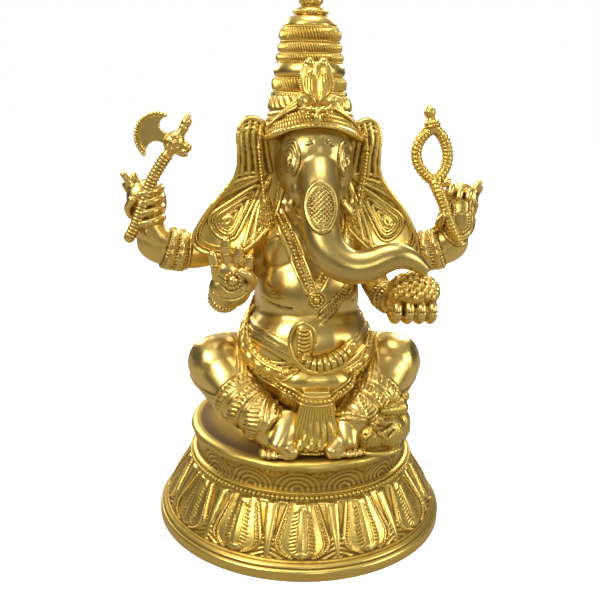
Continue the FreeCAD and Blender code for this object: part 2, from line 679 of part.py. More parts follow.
def crown_tiers(*neighbours):
    """Stack of narrowing rings with a groove under each."""
    count = 5
    corners = [("0", TIERS_FOOT)]
    for i in range(count):
        share = i / count
        radius = f"Sizes.crown_mid_radius + {share} * (Sizes.crown_top_radius - Sizes.crown_mid_radius)"
        low = f"{TIERS_FOOT} + {share} * Sizes.crown_tiers_height"
        corners.append((f"{radius} - Sizes.tier_groove", low))
        corners.append((radius, f"{low} + Sizes.tier_groove"))
        corners.append((f"{radius} - 0.5",
                        f"{low} + {1 / count} * Sizes.crown_tiers_height - Sizes.tier_groove"))
    corners.append(("0.8 * Sizes.crown_top_radius", FINIAL_FOOT))
    corners.append(("0", FINIAL_FOOT))
    return fitted("crown_tiers", turned("crown_tiers_stack", corners), *neighbours)


def crown_finial(*neighbours):
    """Turned finial: a foot, a neck and a bud."""
    return fitted("crown_finial", turned("crown_finial_turning", [
        ("0", FINIAL_FOOT),
        ("Sizes.finial_radius", FINIAL_FOOT),
        ("Sizes.finial_radius", f"{FINIAL_FOOT} + 0.2 * Sizes.finial_height"),
        ("0.62 * Sizes.finial_radius", f"{FINIAL_FOOT} + 0.34 * Sizes.finial_height"),
        ("0.7 * Sizes.finial_radius", f"{FINIAL_FOOT} + 0.62 * Sizes.finial_height"),
        ("0.2 * Sizes.finial_radius", f"{FINIAL_FOOT} + Sizes.finial_height"),
        ("0", f"{FINIAL_FOOT} + Sizes.finial_height"),
    ]), *neighbours)


def crown_crest(*neighbours):
    """Pointed crest that stands on the front of the crown."""
    half = "(Sizes.crest_width / 2)"
    crest = padded_outline("crest_leaf", "XZ_Plane", [
        (f"-{half}", "0"),
        (half, "0"),
        (half, "0.6 * Sizes.crest_height", "18"),
        ("0", "Sizes.crest_height", "18"),
        (f"-{half}", "0.6 * Sizes.crest_height"),
    ], "Sizes.crest_thickness + 8")
    crest.Placement.Rotation = Rotation(Vector(1, 0, 0), -14)
    bind_base(crest, ("2", "8 - Sizes.crown_foot_radius", f"{CROWN_FOOT} + 4"))
    return fitted("crown_crest", crest, *neighbours)


# ---------------------------------------------------------------- arms and what they hold
def back_arm(label, side, *neighbours):
    """Rear arm: out to the elbow and up to an open hand with spread fingers."""
    def at(x, y, rise):
        return (f"{side} * ({x})", y, f"{SEAT_TOP} + {rise}")

    arm = limb(label + "_limb", [
        (at("Sizes.back_shoulder - 6", "9", "Sizes.chest_rise + 2"), "Sizes.back_arm_radius"),
        (at("0.58 * Sizes.back_elbow", "7", "Sizes.chest_rise + 1"), "Sizes.back_arm_radius"),
        (at("0.86 * Sizes.back_elbow", "1", "Sizes.back_elbow_rise - 3"), "Sizes.back_elbow_radius"),
        (at("Sizes.back_elbow + 3", "-1", "Sizes.back_elbow_rise + 5"), "Sizes.back_elbow_radius"),
        (at("Sizes.back_elbow + 3", "-2", "Sizes.back_wrist_rise"), "Sizes.wrist_radius"),
    ], end_round=True)
    palm_rise = "(Sizes.back_wrist_rise + 0.55 * Sizes.palm_height)"
    palm = ellipsoid(label + "_palm", at("Sizes.back_elbow + 4", "-2", palm_rise),
                     "Sizes.palm_width", "Sizes.palm_depth", "Sizes.palm_height")
    fingers = limb(label + "_fingers", [
        (at("Sizes.back_elbow + 6", "-1", f"{palm_rise} - 3"), "0.8 * Sizes.palm_depth"),
        (at("Sizes.back_elbow + 0.65 * Sizes.finger_spread", "0", f"{palm_rise} + 5"),
         "0.7 * Sizes.palm_depth"),
        (at("Sizes.back_elbow + Sizes.finger_spread - 0.5 * Sizes.palm_depth", "1", f"{palm_rise} + 9"),
         "0.5 * Sizes.palm_depth"),
    ], end_round=True)
    return fitted(label, fused(label + "_whole", arm, palm, fingers), *neighbours)


def front_arm(label, side, hand_rise, palm_halves, *neighbours):
    """Front arm: down to the elbow beside the waist, then forward to the hand."""
    hand = (f"{side} * Sizes.front_hand", "-Sizes.front_hand_forward", f"{SEAT_TOP} + {hand_rise}")
    elbow = (f"{side} * Sizes.front_elbow", "-Sizes.front_elbow_forward",
             f"{SEAT_TOP} + Sizes.front_elbow_rise")
    shoulder = (f"{side} * Sizes.front_shoulder", "-6.5", f"{SEAT_TOP} + 0.98 * Sizes.chest_rise")
    upper = (f"{side} * (0.55 * Sizes.front_shoulder + 0.5 * Sizes.front_elbow)",
             "-0.55 * Sizes.front_elbow_forward",
             f"{SEAT_TOP} + 0.5 * (Sizes.chest_rise + Sizes.front_elbow_rise)")
    wrist = (f"{side} * Sizes.front_hand", "-0.84 * Sizes.front_hand_forward",
             f"{SEAT_TOP} + 0.4 * Sizes.front_elbow_rise + 0.6 * {hand_rise} - 4")
    arm = limb(label + "_limb", [
        (shoulder, "Sizes.front_arm_radius"),
        (upper, "Sizes.front_arm_radius"),
        (elbow, "0.92 * Sizes.front_arm_radius"),
        (wrist, "Sizes.wrist_radius"),
    ], start_round=True, end_round=True)
    palm = ellipsoid(label + "_palm", hand, *palm_halves)
    return fitted(label, fused(label + "_whole", arm, palm), *neighbours)


def axe(*neighbours):
    """Short battle axe: handle, socket and crescent blade, leaning in towards the crown."""
    foot = ("-(Sizes.back_elbow + 12)", "-9", f"{SEAT_TOP} + Sizes.back_elbow_rise + 6")
    handle = cylinder("axe_handle", ("0", "0", "0"), "Sizes.axe_handle_radius", "Sizes.axe_length")
    socket = cylinder("axe_socket", ("0", "0", "0.8 * Sizes.axe_length"),
                      "2.2 * Sizes.axe_handle_radius", "0.12 * Sizes.axe_length")
    disc = cylinder("axe_blade_disc", ("-0.92 * Sizes.axe_blade_radius", "0.5 * Sizes.axe_blade_thickness",
                                       "0.86 * Sizes.axe_length"),
                    "0.8 * Sizes.axe_blade_radius", "Sizes.axe_blade_thickness", (0, -1, 0))
    bites = []
    for name, height in (("upper", 1.13), ("lower", 0.59)):
        bites.append(cylinder(f"axe_{name}_bite",
                              ("-0.42 * Sizes.axe_blade_radius", "Sizes.axe_blade_thickness",
                               f"{height} * Sizes.axe_length"),
                              "0.72 * Sizes.axe_blade_radius", "2 * Sizes.axe_blade_thickness", (0, -1, 0)))
    blade = fitted("axe_blade", disc, *bites)
    whole = fused("axe_whole", handle, socket, blade)
    whole.Placement.Rotation = Rotation(Vector(0, 1, 0), number("Sizes.axe_lean"))
    bind_base(whole, foot)
    return fitted("axe", whole, *neighbours)


def noose(*neighbours):
    """Looped noose that stands on the left rear hand, with a bud on top and a short tail."""
    side, rise = "Sizes.noose_side", f"({SEAT_TOP} + Sizes.noose_rise)"

    def on_loop(turn):
        across, up = math.sin(math.radians(turn)), math.cos(math.radians(turn))
        lean = f"(Sizes.noose_width / 2 * {across:.4f} - 0.12 * Sizes.noose_height * {up:.4f})"
        return (f"{side} + {lean}", "-5", f"{rise} + Sizes.noose_height / 2 * {up:.4f}")

    halves = []
    for name, turns in (("outer", (0, 35, 70, 105, 140, 180)), ("inner", (0, -35, -70, -105, -140, -180))):
        halves.append(limb(f"noose_{name}", [(on_loop(t), "Sizes.noose_cord") for t in turns], True, True))
    bud = ellipsoid("noose_bud", (f"{side} - 0.12 * Sizes.noose_height", "-5",
                                  f"{rise} + Sizes.noose_height / 2 + 2 * Sizes.noose_cord"),
                    "1.3 * Sizes.noose_cord", "1.3 * Sizes.noose_cord", "2.4 * Sizes.noose_cord")
    tail = limb("noose_tail", [
        (on_loop(180), "1.2 * Sizes.noose_cord"),
        (("Sizes.back_elbow - 5", "-7", f"{SEAT_TOP} + Sizes.back_wrist_rise + 8"),
         "1.2 * Sizes.noose_cord"),
        (("Sizes.back_elbow + 1", "-9", f"{SEAT_TOP} + Sizes.back_wrist_rise - 6"), "Sizes.noose_cord"),
        (("Sizes.back_elbow + 2", "-9", f"{SEAT_TOP} + Sizes.back_elbow_rise"), "Sizes.noose_cord"),
    ], True, True)
    return fitted("noose", fused("noose_whole", *halves, bud, tail), *neighbours)


def sweets(*neighbours):
    """Heap of sweets in the left front palm, under the tip of the trunk."""
    place = ("Sizes.front_hand + 4", "-(Sizes.front_hand_forward + 7)",
             f"{SEAT_TOP} + Sizes.left_hand_rise + 0.7 * Sizes.sweets_height + 3")
    heap = ellipsoid("sweets_heap", place, "Sizes.sweets_width", "0.85 * Sizes.sweets_width",
                     "Sizes.sweets_height")
    return fitted("sweets", heap, *neighbours)


def mouse(*neighbours):
    """Mouse crouched beside the left foot, its head towards the middle."""
    def at(x, y, rise):
        return (f"Sizes.mouse_side + {x}", f"-Sizes.mouse_forward + {y}", f"{SEAT_TOP} + {rise}")

    half = "(Sizes.mouse_height / 2)"
    rump = ellipsoid("mouse_rump", at("4", "3", half), "0.8 * Sizes.mouse_width", "Sizes.mouse_depth", half)
    face = ellipsoid("mouse_face", at("-6", "-4", f"0.72 * {half}"),
                     "0.66 * Sizes.mouse_width", "0.95 * Sizes.mouse_depth", f"0.78 * {half}")
    return fitted("mouse", fused("mouse_whole", rump, face), *neighbours)


# ---------------------------------------------------------------- dowels
def dowel(name, place, direction):
    """A plain dowel, centred on the face where its two pieces meet."""
    half = Vector(*direction) * -0.5
    start = [f"{text} + ({part}) * Sizes.dowel_length" for text, part in zip(place, half)]
    return cylinder(name, start, "Sizes.dowel_radius", "Sizes.dowel_length", direction)


def arm_dowels():
    pins = []
    for side in (RIGHT, LEFT):
        back = (f"{side} * (Sizes.chest_width - 2)", "8", f"{SEAT_TOP} + Sizes.chest_rise + 2")
        front = (f"{side} * (Sizes.chest_width - 2)", "-7", f"{SEAT_TOP} + Sizes.chest_rise - 5")
        pins.append(dowel("back_arm_pin", back, (side, 0, 0)))
        pins.append(dowel("front_arm_pin", front, (side, 0, 0)))
    return pins


def build():
    """Makes every sub-part in the order in which each one seats on those before it."""
    pedestal, seat_casting, stud = lotus_pedestal(), seat(), tie_stud()
    bar, washer, nut = clamp_bar(), tie_washer(), tie_nut()
    pins = arm_dowels()
    neck_pin = dowel("neck_dowel", ("0", "0", HEAD_FOOT), (0, 0, 1))
    crown_pin = dowel("crown_dowel", ("0", "0", TIERS_FOOT), (0, 0, 1))
    dowels = fused("arm_dowels", *pins)
    body = torso([dowels, neck_pin])
    right_leg = leg("right_leg", RIGHT, body, seat_casting)
    left_leg = leg("left_leg", LEFT, body, seat_casting)
    pleats = front_pleats(body, right_leg, left_leg)
    belt = waist_belt(body, right_leg, left_leg, pleats)
    skull = head(body, neck_pin, crown_pin)
    proboscis = trunk(skull, body)
    serpent = belly_serpent(body, belt, right_leg, left_leg)
    beads = necklace(body, skull, proboscis)
    band = crown_band(skull, crown_pin)
    tiers = crown_tiers(skull, band, crown_pin)
    finial = crown_finial(tiers)
    crest = crown_crest(band, tiers, skull)
    upright = ("Sizes.palm_width", "Sizes.palm_depth", "1.2 * Sizes.palm_height")
    lying = ("1.1 * Sizes.palm_width", "1.1 * Sizes.palm_height", "1.3 * Sizes.palm_depth")
    right_back = back_arm("right_back_arm", RIGHT, body, dowels)
    left_back = back_arm("left_back_arm", LEFT, body, dowels)
    right_front = front_arm("right_front_arm", RIGHT, "Sizes.right_hand_rise", upright,
                            right_back, body, dowels, beads, belt)
    left_front = front_arm("left_front_arm", LEFT, "Sizes.left_hand_rise", lying,
                           left_back, body, dowels, beads, belt, proboscis)
    right_ear = ear("right_ear", RIGHT, skull, body, band, right_back, right_front, beads)
    left_ear = ear("left_ear", LEFT, skull, body, band, left_back, left_front, beads)
    right_tusk = tusk("right_tusk", RIGHT, "Sizes.stub_length", skull, proboscis)
    left_tusk = tusk("left_tusk", LEFT, "Sizes.tusk_length", skull, proboscis)
    hatchet = axe(right_back)
    rope = noose(left_back)
    heap = sweets(left_front, proboscis)
    rodent = mouse(left_leg, seat_casting, pleats)
    return [pedestal, seat_casting, stud, bar, washer, nut, dowels, neck_pin, crown_pin, body, right_leg,
            left_leg, pleats, belt, skull, proboscis, serpent, beads, band, tiers, finial, crest,
            right_back, left_back, right_front, left_front, right_ear, left_ear, right_tusk, left_tusk,
            hatchet, rope, heap, rodent]


subparts = build()
doc.recompute()

faults = [o.Label for o in doc.Objects if "Invalid" in o.State or "Error" in o.State]
if faults:
    raise RuntimeError(f"these objects failed: {faults}")
for piece in subparts:
    if piece.Shape.isNull() or not piece.Shape.isValid() or not piece.Shape.Solids:
        raise RuntimeError(f"{piece.Label} has no valid solid")

os.makedirs("parts", exist_ok=True)
for old in os.listdir("parts"):
    os.remove(os.path.join("parts", old))
for piece in subparts:
    piece.Shape.exportStep(f"parts/{piece.Label}.step")
    solids = [round(s.Volume / 1000, 2) for s in piece.Shape.Solids]
    print(piece.Label, "cm3", solids)
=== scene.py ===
import math
import time

import bmesh
import bpy
import numpy as np
from mathutils import Matrix, Vector


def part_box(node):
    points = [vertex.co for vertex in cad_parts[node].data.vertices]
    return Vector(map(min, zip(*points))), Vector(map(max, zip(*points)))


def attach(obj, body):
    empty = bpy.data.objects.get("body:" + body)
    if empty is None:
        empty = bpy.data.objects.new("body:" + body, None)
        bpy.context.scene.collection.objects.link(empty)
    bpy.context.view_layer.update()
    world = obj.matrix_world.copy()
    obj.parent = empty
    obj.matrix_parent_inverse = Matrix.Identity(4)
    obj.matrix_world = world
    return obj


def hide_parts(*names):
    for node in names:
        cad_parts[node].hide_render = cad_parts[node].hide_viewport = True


# A cast brass deity on a lotus pedestal. Shapes are worked in millimetres and stored in metres.
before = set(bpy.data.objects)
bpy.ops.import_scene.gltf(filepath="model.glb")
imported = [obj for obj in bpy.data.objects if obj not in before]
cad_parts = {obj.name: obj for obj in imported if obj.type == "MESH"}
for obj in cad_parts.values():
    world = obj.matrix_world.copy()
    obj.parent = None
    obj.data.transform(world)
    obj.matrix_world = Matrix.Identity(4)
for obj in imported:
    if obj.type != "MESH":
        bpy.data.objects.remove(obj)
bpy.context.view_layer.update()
mm = 0.001
started = time.time()

cornersOf = {name: [np.array(corner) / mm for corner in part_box(name)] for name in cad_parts}


def edges(node):  # lowest and highest corner of a CAD node, in millimetres
    return cornersOf[node]


seatTop = edges("seat")[1][2]

# camera, lights and floor
view = {"place": (-47.2, -449.1, 258.0), "turn": 6.0, "aside": 0.29, "down": 15.59, "roll": 1.3,
        "lens": 47.28}


def makeCamera():
    data = bpy.data.cameras.new("studioCamera")
    data.lens, data.sensor_width = view["lens"], 36
    data.clip_start = 0.01
    camera = bpy.data.objects.new("studioCamera", data)
    bpy.context.scene.collection.objects.link(camera)
    turn = Matrix.Rotation(math.radians(view["aside"] - view["turn"]), 4, "Z")
    tip = Matrix.Rotation(math.radians(90 - view["down"]), 4, "X")
    roll = Matrix.Rotation(math.radians(view["roll"]), 4, "Z")
    camera.matrix_world = Matrix.Translation(Vector(view["place"]) * mm) @ turn @ tip @ roll
    bpy.context.scene.camera = camera
    bpy.context.scene.view_settings.view_transform = "Standard"


lamps = [
    # name, place in metres, size, watts, colour
    ("keySoftbox", (-0.80, -0.70, 0.90), 0.50, 11.0, (1.0, 0.97, 0.90)),
    ("fillSoftbox", (1.00, -0.55, 0.45), 0.45, 5.0, (1.0, 0.98, 0.94)),
    ("topSoftbox", (0.05, 0.00, 1.30), 0.60, 8.0, (1.0, 0.99, 0.96)),
    ("frontStrip", (0.15, -1.15, 0.50), 0.18, 1.8, (1.0, 0.97, 0.92)),
    ("rimStrip", (0.55, 0.80, 0.70), 0.40, 6.0, (1.0, 0.97, 0.92)),
    ("backSoftbox", (-0.60, 0.90, 0.60), 0.50, 6.0, (1.0, 0.97, 0.92)),
]


def makeLights():
    for name, place, size, watts, tint in lamps:
        data = bpy.data.lights.new(name, "AREA")
        data.size, data.energy, data.color = size, watts, tint
        lamp = bpy.data.objects.new(name, data)
        lamp.location = place
        aim = Vector((0, 0, 0.14)) - Vector(place)
        lamp.rotation_euler = aim.to_track_quat("-Z", "Y").to_euler()
        bpy.context.scene.collection.objects.link(lamp)


# shader wiring
class Wire:  # a socket that sums can be written with
    def __init__(self, board, socket):
        self.board, self.socket = board, socket

    def sums(self, operation, *values):
        return self.board.node("ShaderNodeMath", {"operation": operation}, dict(enumerate(values)))

    def __add__(self, other):
        return self.sums("ADD", self, other)

    def __sub__(self, other):
        return self.sums("SUBTRACT", self, other)

    def __rsub__(self, other):
        return self.sums("SUBTRACT", other, self)

    def __mul__(self, other):
        return self.sums("MULTIPLY", self, other)

    __radd__, __rmul__ = __add__, __mul__


class Board:  # a material's or the sky's node tree
    def __init__(self, owner):
        owner.use_nodes = True
        self.tree = owner.node_tree
        self.tree.nodes.clear()

    def node(self, kind, settings=None, inputs=None, out=0):
        made = self.tree.nodes.new(kind)
        for key, value in (settings or {}).items():
            if key == "stops":
                ramp = made.color_ramp.elements
                while len(ramp) < len(value):
                    ramp.new(0.5)
                for stop, (spot, tone) in zip(ramp, value):
                    stop.position, stop.color = spot, (*tone, 1)
            else:
                setattr(made, key, value)
        for key, value in (inputs or {}).items():
            if isinstance(value, Wire):
                self.tree.links.new(value.socket, made.inputs[key])
            else:
                made.inputs[key].default_value = value
        return Wire(self, made.outputs[out]) if len(made.outputs) else None

    def blend(self, share, first, second):
        kind = {"data_type": "RGBA"}
        first, second = [v if isinstance(v, Wire) else (*v, 1) for v in (first, second)]
        return self.node("ShaderNodeMix", kind, {0: share, 6: first, 7: second}, 2)

    def ease(self, value, low, high):  # 0 below low, 1 above high
        return self.node("ShaderNodeMapRange", {"interpolation_type": "SMOOTHSTEP"},
                         {0: value, 1: low, 2: high, 3: 0.0, 4: 1.0})

    def noise(self, place, scale, detail=3.0, rough=0.55):
        return self.node("ShaderNodeTexNoise", {}, {"Vector": place, "Scale": scale,
                                                    "Detail": detail, "Roughness": rough})


def makeSky():
    world = bpy.data.worlds.new("studioSky")
    bpy.context.scene.world = world
    board = Board(world)
    way = board.node("ShaderNodeTexCoord", {}, {}, "Generated")
    height = board.node("ShaderNodeSeparateXYZ", {}, {0: way}, "Z")
    stops = [(0.0, (0.12, 0.11, 0.10)), (0.47, (0.030, 0.027, 0.023)), (0.60, (0.060, 0.058, 0.052)),
             (0.80, (0.30, 0.295, 0.28)), (1.0, (0.62, 0.62, 0.60))]
    ramp = board.node("ShaderNodeValToRGB", {"stops": stops}, {0: height * 0.5 + 0.5})
    rear = board.ease(board.node("ShaderNodeSeparateXYZ", {}, {0: way}, "Y"), 0.62, 0.90)
    tone = board.blend(rear * board.ease(height, 0.03, 0.22), ramp, (0.82, 0.79, 0.70))  # pale wall behind
    seen = board.node("ShaderNodeLightPath", {}, {}, "Is Camera Ray")
    glow = board.node("ShaderNodeBackground", {}, {"Color": tone, "Strength": 1.0})
    paper = board.node("ShaderNodeBackground", {}, {"Color": (1.0, 1.0, 1.0, 1), "Strength": 1.0})
    both = board.node("ShaderNodeMixShader", {}, {0: seen, 1: glow, 2: paper})
    board.node("ShaderNodeOutputWorld", {}, {"Surface": both})


brassTones = {
    "cast": {"shine": (0.74, 0.540, 0.150), "matte": (0.60, 0.38, 0.050), "deep": (0.150, 0.078, 0.010),
             "low": 0.32, "rough": 0.50, "grain": 0.16,
             "from": 0.14, "to": 0.55, "deepFrom": 0.50, "deepTo": 1.0},
    "smooth": {"shine": (0.70, 0.510, 0.165), "matte": (0.57, 0.37, 0.065), "deep": (0.085, 0.042, 0.007),
               "low": 0.32, "rough": 0.46, "grain": 0.09,
               "from": 0.14, "to": 0.55, "deepFrom": 0.52, "deepTo": 0.98},
    "satin": {"shine": (0.56, 0.410, 0.135), "matte": (0.44, 0.285, 0.060), "deep": (0.070, 0.036, 0.008),
              "low": 0.33, "rough": 0.44, "grain": 0.08,
              "from": 0.20, "to": 0.60, "deepFrom": 0.55, "deepTo": 1.0},
    "olive": {"shine": (0.58, 0.425, 0.110), "matte": (0.40, 0.262, 0.038), "deep": (0.150, 0.085, 0.014),
              "low": 0.40, "rough": 0.52, "grain": 0.16,
              "from": 0.12, "to": 0.50, "deepFrom": 0.50, "deepTo": 1.0},
}


def makeBrass(name, tones):
    # polished high places, matte golden recesses and brown tarnish in the deepest lines
    material = bpy.data.materials.new(name)
    board = Board(material)
    place = board.node("ShaderNodeTexCoord", {}, {}, "Object")
    hollow = board.node("ShaderNodeAttribute", {"attribute_name": "hollow"}, {}, "Fac")
    cloud = board.noise(place, 38.0, 4.0)
    speck = board.noise(place, 520.0, 5.0, 0.65)
    pits = board.noise(place, 1500.0, 2.0)
    brush = board.noise(board.node("ShaderNodeMapping", {}, {0: place, "Scale": (900.0, 900.0, 140.0)}),
                        1.0, 2.0)
    worn = hollow + (cloud - 0.5) * 0.22 + (speck - 0.5) * 0.20
    matte = board.ease(worn, tones["from"], tones["to"])
    deep = board.ease(worn, tones["deepFrom"], tones["deepTo"])
    warm = board.ease(cloud + speck * 0.35, 0.62, 0.86)
    shine = board.blend(board.ease(cloud, 0.35, 0.75), tones["shine"],
                        tuple(v * k for v, k in zip(tones["shine"], (0.90, 0.89, 0.80))))
    rosy = board.blend(warm * 0.30, tones["matte"], (0.50, 0.24, 0.07))
    tone = board.blend(deep, board.blend(matte, shine, rosy), tones["deep"])
    rough = tones["low"] + matte * (tones["rough"] - tones["low"]) + deep * 0.10 + (speck - 0.5) * 0.16
    relief = pits * 0.45 + speck * 0.55 + brush * 0.25
    bump = board.node("ShaderNodeBump", {}, {"Height": relief * (0.30 + matte * 0.70),
                                             "Strength": tones["grain"],
                                            "Distance": 0.0004})
    shader = board.node("ShaderNodeBsdfPrincipled", {}, {
        "Base Color": tone, "Metallic": 1.0 - deep * 0.45, "Roughness": rough, "Normal": bump})
    board.node("ShaderNodeOutputMaterial", {}, {"Surface": shader})
    return material


def makeSteel():
    material = bpy.data.materials.new("zincSteel")
    board = Board(material)
    place = board.node("ShaderNodeTexCoord", {}, {}, "Object")
    spangle = board.node("ShaderNodeTexVoronoi", {}, {"Vector": place, "Scale": 420.0}, "Color")
    mist = board.noise(place, 160.0, 4.0)
    shade = board.node("ShaderNodeSeparateXYZ", {}, {0: spangle}, "X")
    tone = board.blend(board.ease(mist + shade * 0.3, 0.4, 0.95), (0.56, 0.56, 0.53), (0.34, 0.34, 0.31))
    bump = board.node("ShaderNodeBump", {}, {"Height": mist + shade * 0.2, "Strength": 0.2,
                                             "Distance": 0.0002})
    shader = board.node("ShaderNodeBsdfPrincipled", {}, {
        "Base Color": tone, "Metallic": 1.0, "Roughness": 0.32 + mist * 0.25, "Normal": bump})
    board.node("ShaderNodeOutputMaterial", {}, {"Surface": shader})
    return material


def makeFloor():
    bm = bmesh.new()
    bmesh.ops.create_grid(bm, x_segments=1, y_segments=1, size=3.0)
    mesh = bpy.data.meshes.new("studioFloor")
    bm.to_mesh(mesh)
    bm.free()
    material = bpy.data.materials.new("paleFloor")
    board = Board(material)
    place = board.node("ShaderNodeTexCoord", {}, {}, "Object")
    grain = board.noise(place, 30.0, 3.0)
    paper = board.node("ShaderNodeBsdfPrincipled", {}, {
        "Base Color": board.blend(grain, (0.86, 0.86, 0.86), (0.83, 0.83, 0.83)), "Roughness": 0.85,
        "Emission Color": (1, 1, 1, 1), "Emission Strength": 0.72})
    dim = board.node("ShaderNodeBsdfDiffuse", {}, {"Color": (0.34, 0.32, 0.29, 1)})
    seen = board.node("ShaderNodeLightPath", {}, {}, "Is Camera Ray")  # what the metal mirrors stays dimmer
    both = board.node("ShaderNodeMixShader", {}, {0: seen, 1: dim, 2: paper})
    board.node("ShaderNodeOutputMaterial", {}, {"Surface": both})
    mesh.materials.append(material)
    floor = bpy.data.objects.new("studioFloor", mesh)
    bpy.context.scene.collection.objects.link(floor)


# modelling help, in millimetres
def smoothPath(points, step=1.0, closed=False):  # evenly spaced places on a curve through the points
    points = np.array(points, float)
    if closed:
        points = np.vstack([points[-1:], points, points[:2]])
    else:
        points = np.vstack([2 * points[:1] - points[1:2], points, 2 * points[-1:] - points[-2:-1]])
    share = np.linspace(0, 1, 24, endpoint=False)[:, None]
    runs = []
    for a, b, c, d in zip(points, points[1:], points[2:], points[3:]):
        runs.append(0.5 * (2 * b + (c - a) * share + (2 * a - 5 * b + 4 * c - d) * share ** 2
                           + (3 * b - a - 3 * c + d) * share ** 3))
    fine = np.vstack(runs + [points[-2:-1]])
    gaps = np.linalg.norm(np.diff(fine[:, :3], axis=0), axis=1)
    far = np.concatenate([[0], np.cumsum(gaps)])
    count = max(2, int(round(far[-1] / step)) + 1)
    marks = np.linspace(0, far[-1], count)
    return np.column_stack([np.interp(marks, far, fine[:, k]) for k in range(fine.shape[1])])


def ringFrames(line):  # a turning frame at each place, carried along so that it never flips
    ways = np.gradient(line[:, :3], axis=0)
    frames, facing = [], None
    for place, way in zip(line, ways):
        ahead = Vector(way).normalized()
        if facing is None:
            turn = ahead.to_track_quat("Z", "Y").to_matrix()
        else:
            turn = facing.rotation_difference(ahead).to_matrix() @ turn
        facing = ahead
        frames.append(Matrix.Translation(Vector(place[:3])) @ turn.to_4x4())
    return frames


def addTube(bm, stations, sides=16, step=1.5, flat=1.0, closed=False):
    # a ring drawn out along a path; each station is x, y, z, radius
    line = smoothPath(stations, step, closed)
    if closed:
        line = line[:-1]
    frames = ringFrames(line)
    shapes = [f @ Matrix.Diagonal((r, r * flat, 1, 1)) for f, r in zip(frames, line[:, 3])]
    part = bmesh.new()
    made = bmesh.ops.create_circle(part, segments=sides, radius=1, cap_ends=False)
    bmesh.ops.transform(part, matrix=shapes[0], verts=made["verts"])
    first = loop = part.edges[:]
    for before, after in zip(shapes, shapes[1:]):
        drawn = bmesh.ops.extrude_edge_only(part, edges=loop)["geom"]
        verts = [g for g in drawn if isinstance(g, bmesh.types.BMVert)]
        loop = [g for g in drawn if isinstance(g, bmesh.types.BMEdge)]
        bmesh.ops.transform(part, matrix=after @ before.inverted(), verts=verts)
    if closed:
        bmesh.ops.bridge_loops(part, edges=first + loop)
    else:
        for ends in (first, loop):
            bmesh.ops.contextual_create(part, geom=ends)
    addPart(bm, part)


def addBall(bm, place, size, tilt=(0, 0, 0), fine=20):
    part = bmesh.new()
    bmesh.ops.create_uvsphere(part, u_segments=fine, v_segments=max(6, fine * 2 // 3), radius=1)
    size = (size,) * 3 if np.isscalar(size) else size
    turn = Matrix.Rotation(math.radians(tilt[2]), 4, "Z") @ Matrix.Rotation(math.radians(tilt[1]), 4, "Y") \
        @ Matrix.Rotation(math.radians(tilt[0]), 4, "X")
    bmesh.ops.transform(part, matrix=Matrix.Translation(place) @ turn @ Matrix.Diagonal((*size, 1)),
                        verts=part.verts)
    addPart(bm, part)


class Pile:  # finished parts waiting to become one mesh
    def __init__(self):
        self.spots, self.corners, self.sides, self.count = [], [], [], 0

    def take(self, spots, corners, sides):
        self.spots.append(spots)
        self.corners.append(corners + self.count)
        self.sides.append(sides)
        self.count += len(spots)

    def takeMesh(self, mesh):
        self.take(*meshArrays(mesh))
        bpy.data.meshes.remove(mesh)

    def mesh(self, name):
        made = bpy.data.meshes.new(name)
        corners, sides = np.concatenate(self.corners), np.concatenate(self.sides)
        made.vertices.add(self.count)
        made.vertices.foreach_set("co", np.vstack(self.spots).ravel())
        made.loops.add(len(corners))
        made.loops.foreach_set("vertex_index", corners)
        made.polygons.add(len(sides))
        made.polygons.foreach_set("loop_start", np.concatenate([[0], np.cumsum(sides)[:-1]]))
        made.update(calc_edges=True)
        return made


def meshArrays(mesh):
    spots = np.empty(len(mesh.vertices) * 3)
    mesh.vertices.foreach_get("co", spots)
    corners = np.empty(len(mesh.loops), int)
    mesh.loops.foreach_get("vertex_index", corners)
    sides = np.empty(len(mesh.polygons), int)
    mesh.polygons.foreach_get("loop_total", sides)
    return spots.reshape(-1, 3), corners, sides


def addPart(pile, part):
    bmesh.ops.recalc_face_normals(part, faces=part.faces)
    mesh = bpy.data.meshes.new("part")
    part.to_mesh(mesh)
    part.free()
    pile.takeMesh(mesh)


def addNode(pile, node):  # the CAD node's own shape, as a start
    part = bmesh.new()
    part.from_mesh(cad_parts[node].data)
    bmesh.ops.remove_doubles(part, verts=part.verts, dist=1e-7)
    bmesh.ops.scale(part, vec=(1 / mm,) * 3, verts=part.verts)
    mesh = bpy.data.meshes.new("part")
    part.to_mesh(mesh)
    part.free()
    pile.takeMesh(mesh)


def turnedClay(outline, steps):  # a closed outline of radius and height, spun about Z
    part = bmesh.new()
    verts = [part.verts.new((r, 0, z)) for r, z in outline]
    rims = [part.edges.new(pair) for pair in zip(verts, verts[1:] + verts[:1])]
    bmesh.ops.spin(part, geom=verts + rims, cent=(0, 0, 0), axis=(0, 0, 1), angle=math.tau, steps=steps,
                   use_merge=True)
    bmesh.ops.remove_doubles(part, verts=part.verts, dist=1e-4)
    pile = Pile()
    addPart(pile, part)
    return Clay(pile.mesh("turned"))


beadStamps = {}


def beadStamp(sides):
    if sides not in beadStamps:
        part = bmesh.new()
        bmesh.ops.create_uvsphere(part, u_segments=sides, v_segments=5, radius=1)
        beadStamps[sides] = bpy.data.meshes.new("bead")
        part.to_mesh(beadStamps[sides])
        part.free()
    return beadStamps[sides]


def addBeads(bm, path, radius, gap=2.0, closed=False, sides=8):
    # beads of one size set along a path, gap radii apart
    line = smoothPath(path, radius * gap, closed)
    if closed:
        line = line[:-1]
    spots, corners, counts = meshArrays(beadStamp(sides))
    spots = spots * radius
    for place in ringFrames(line):
        shape = np.array(place)
        bm.take(spots @ shape[:3, :3].T + shape[:3, 3], corners, counts)


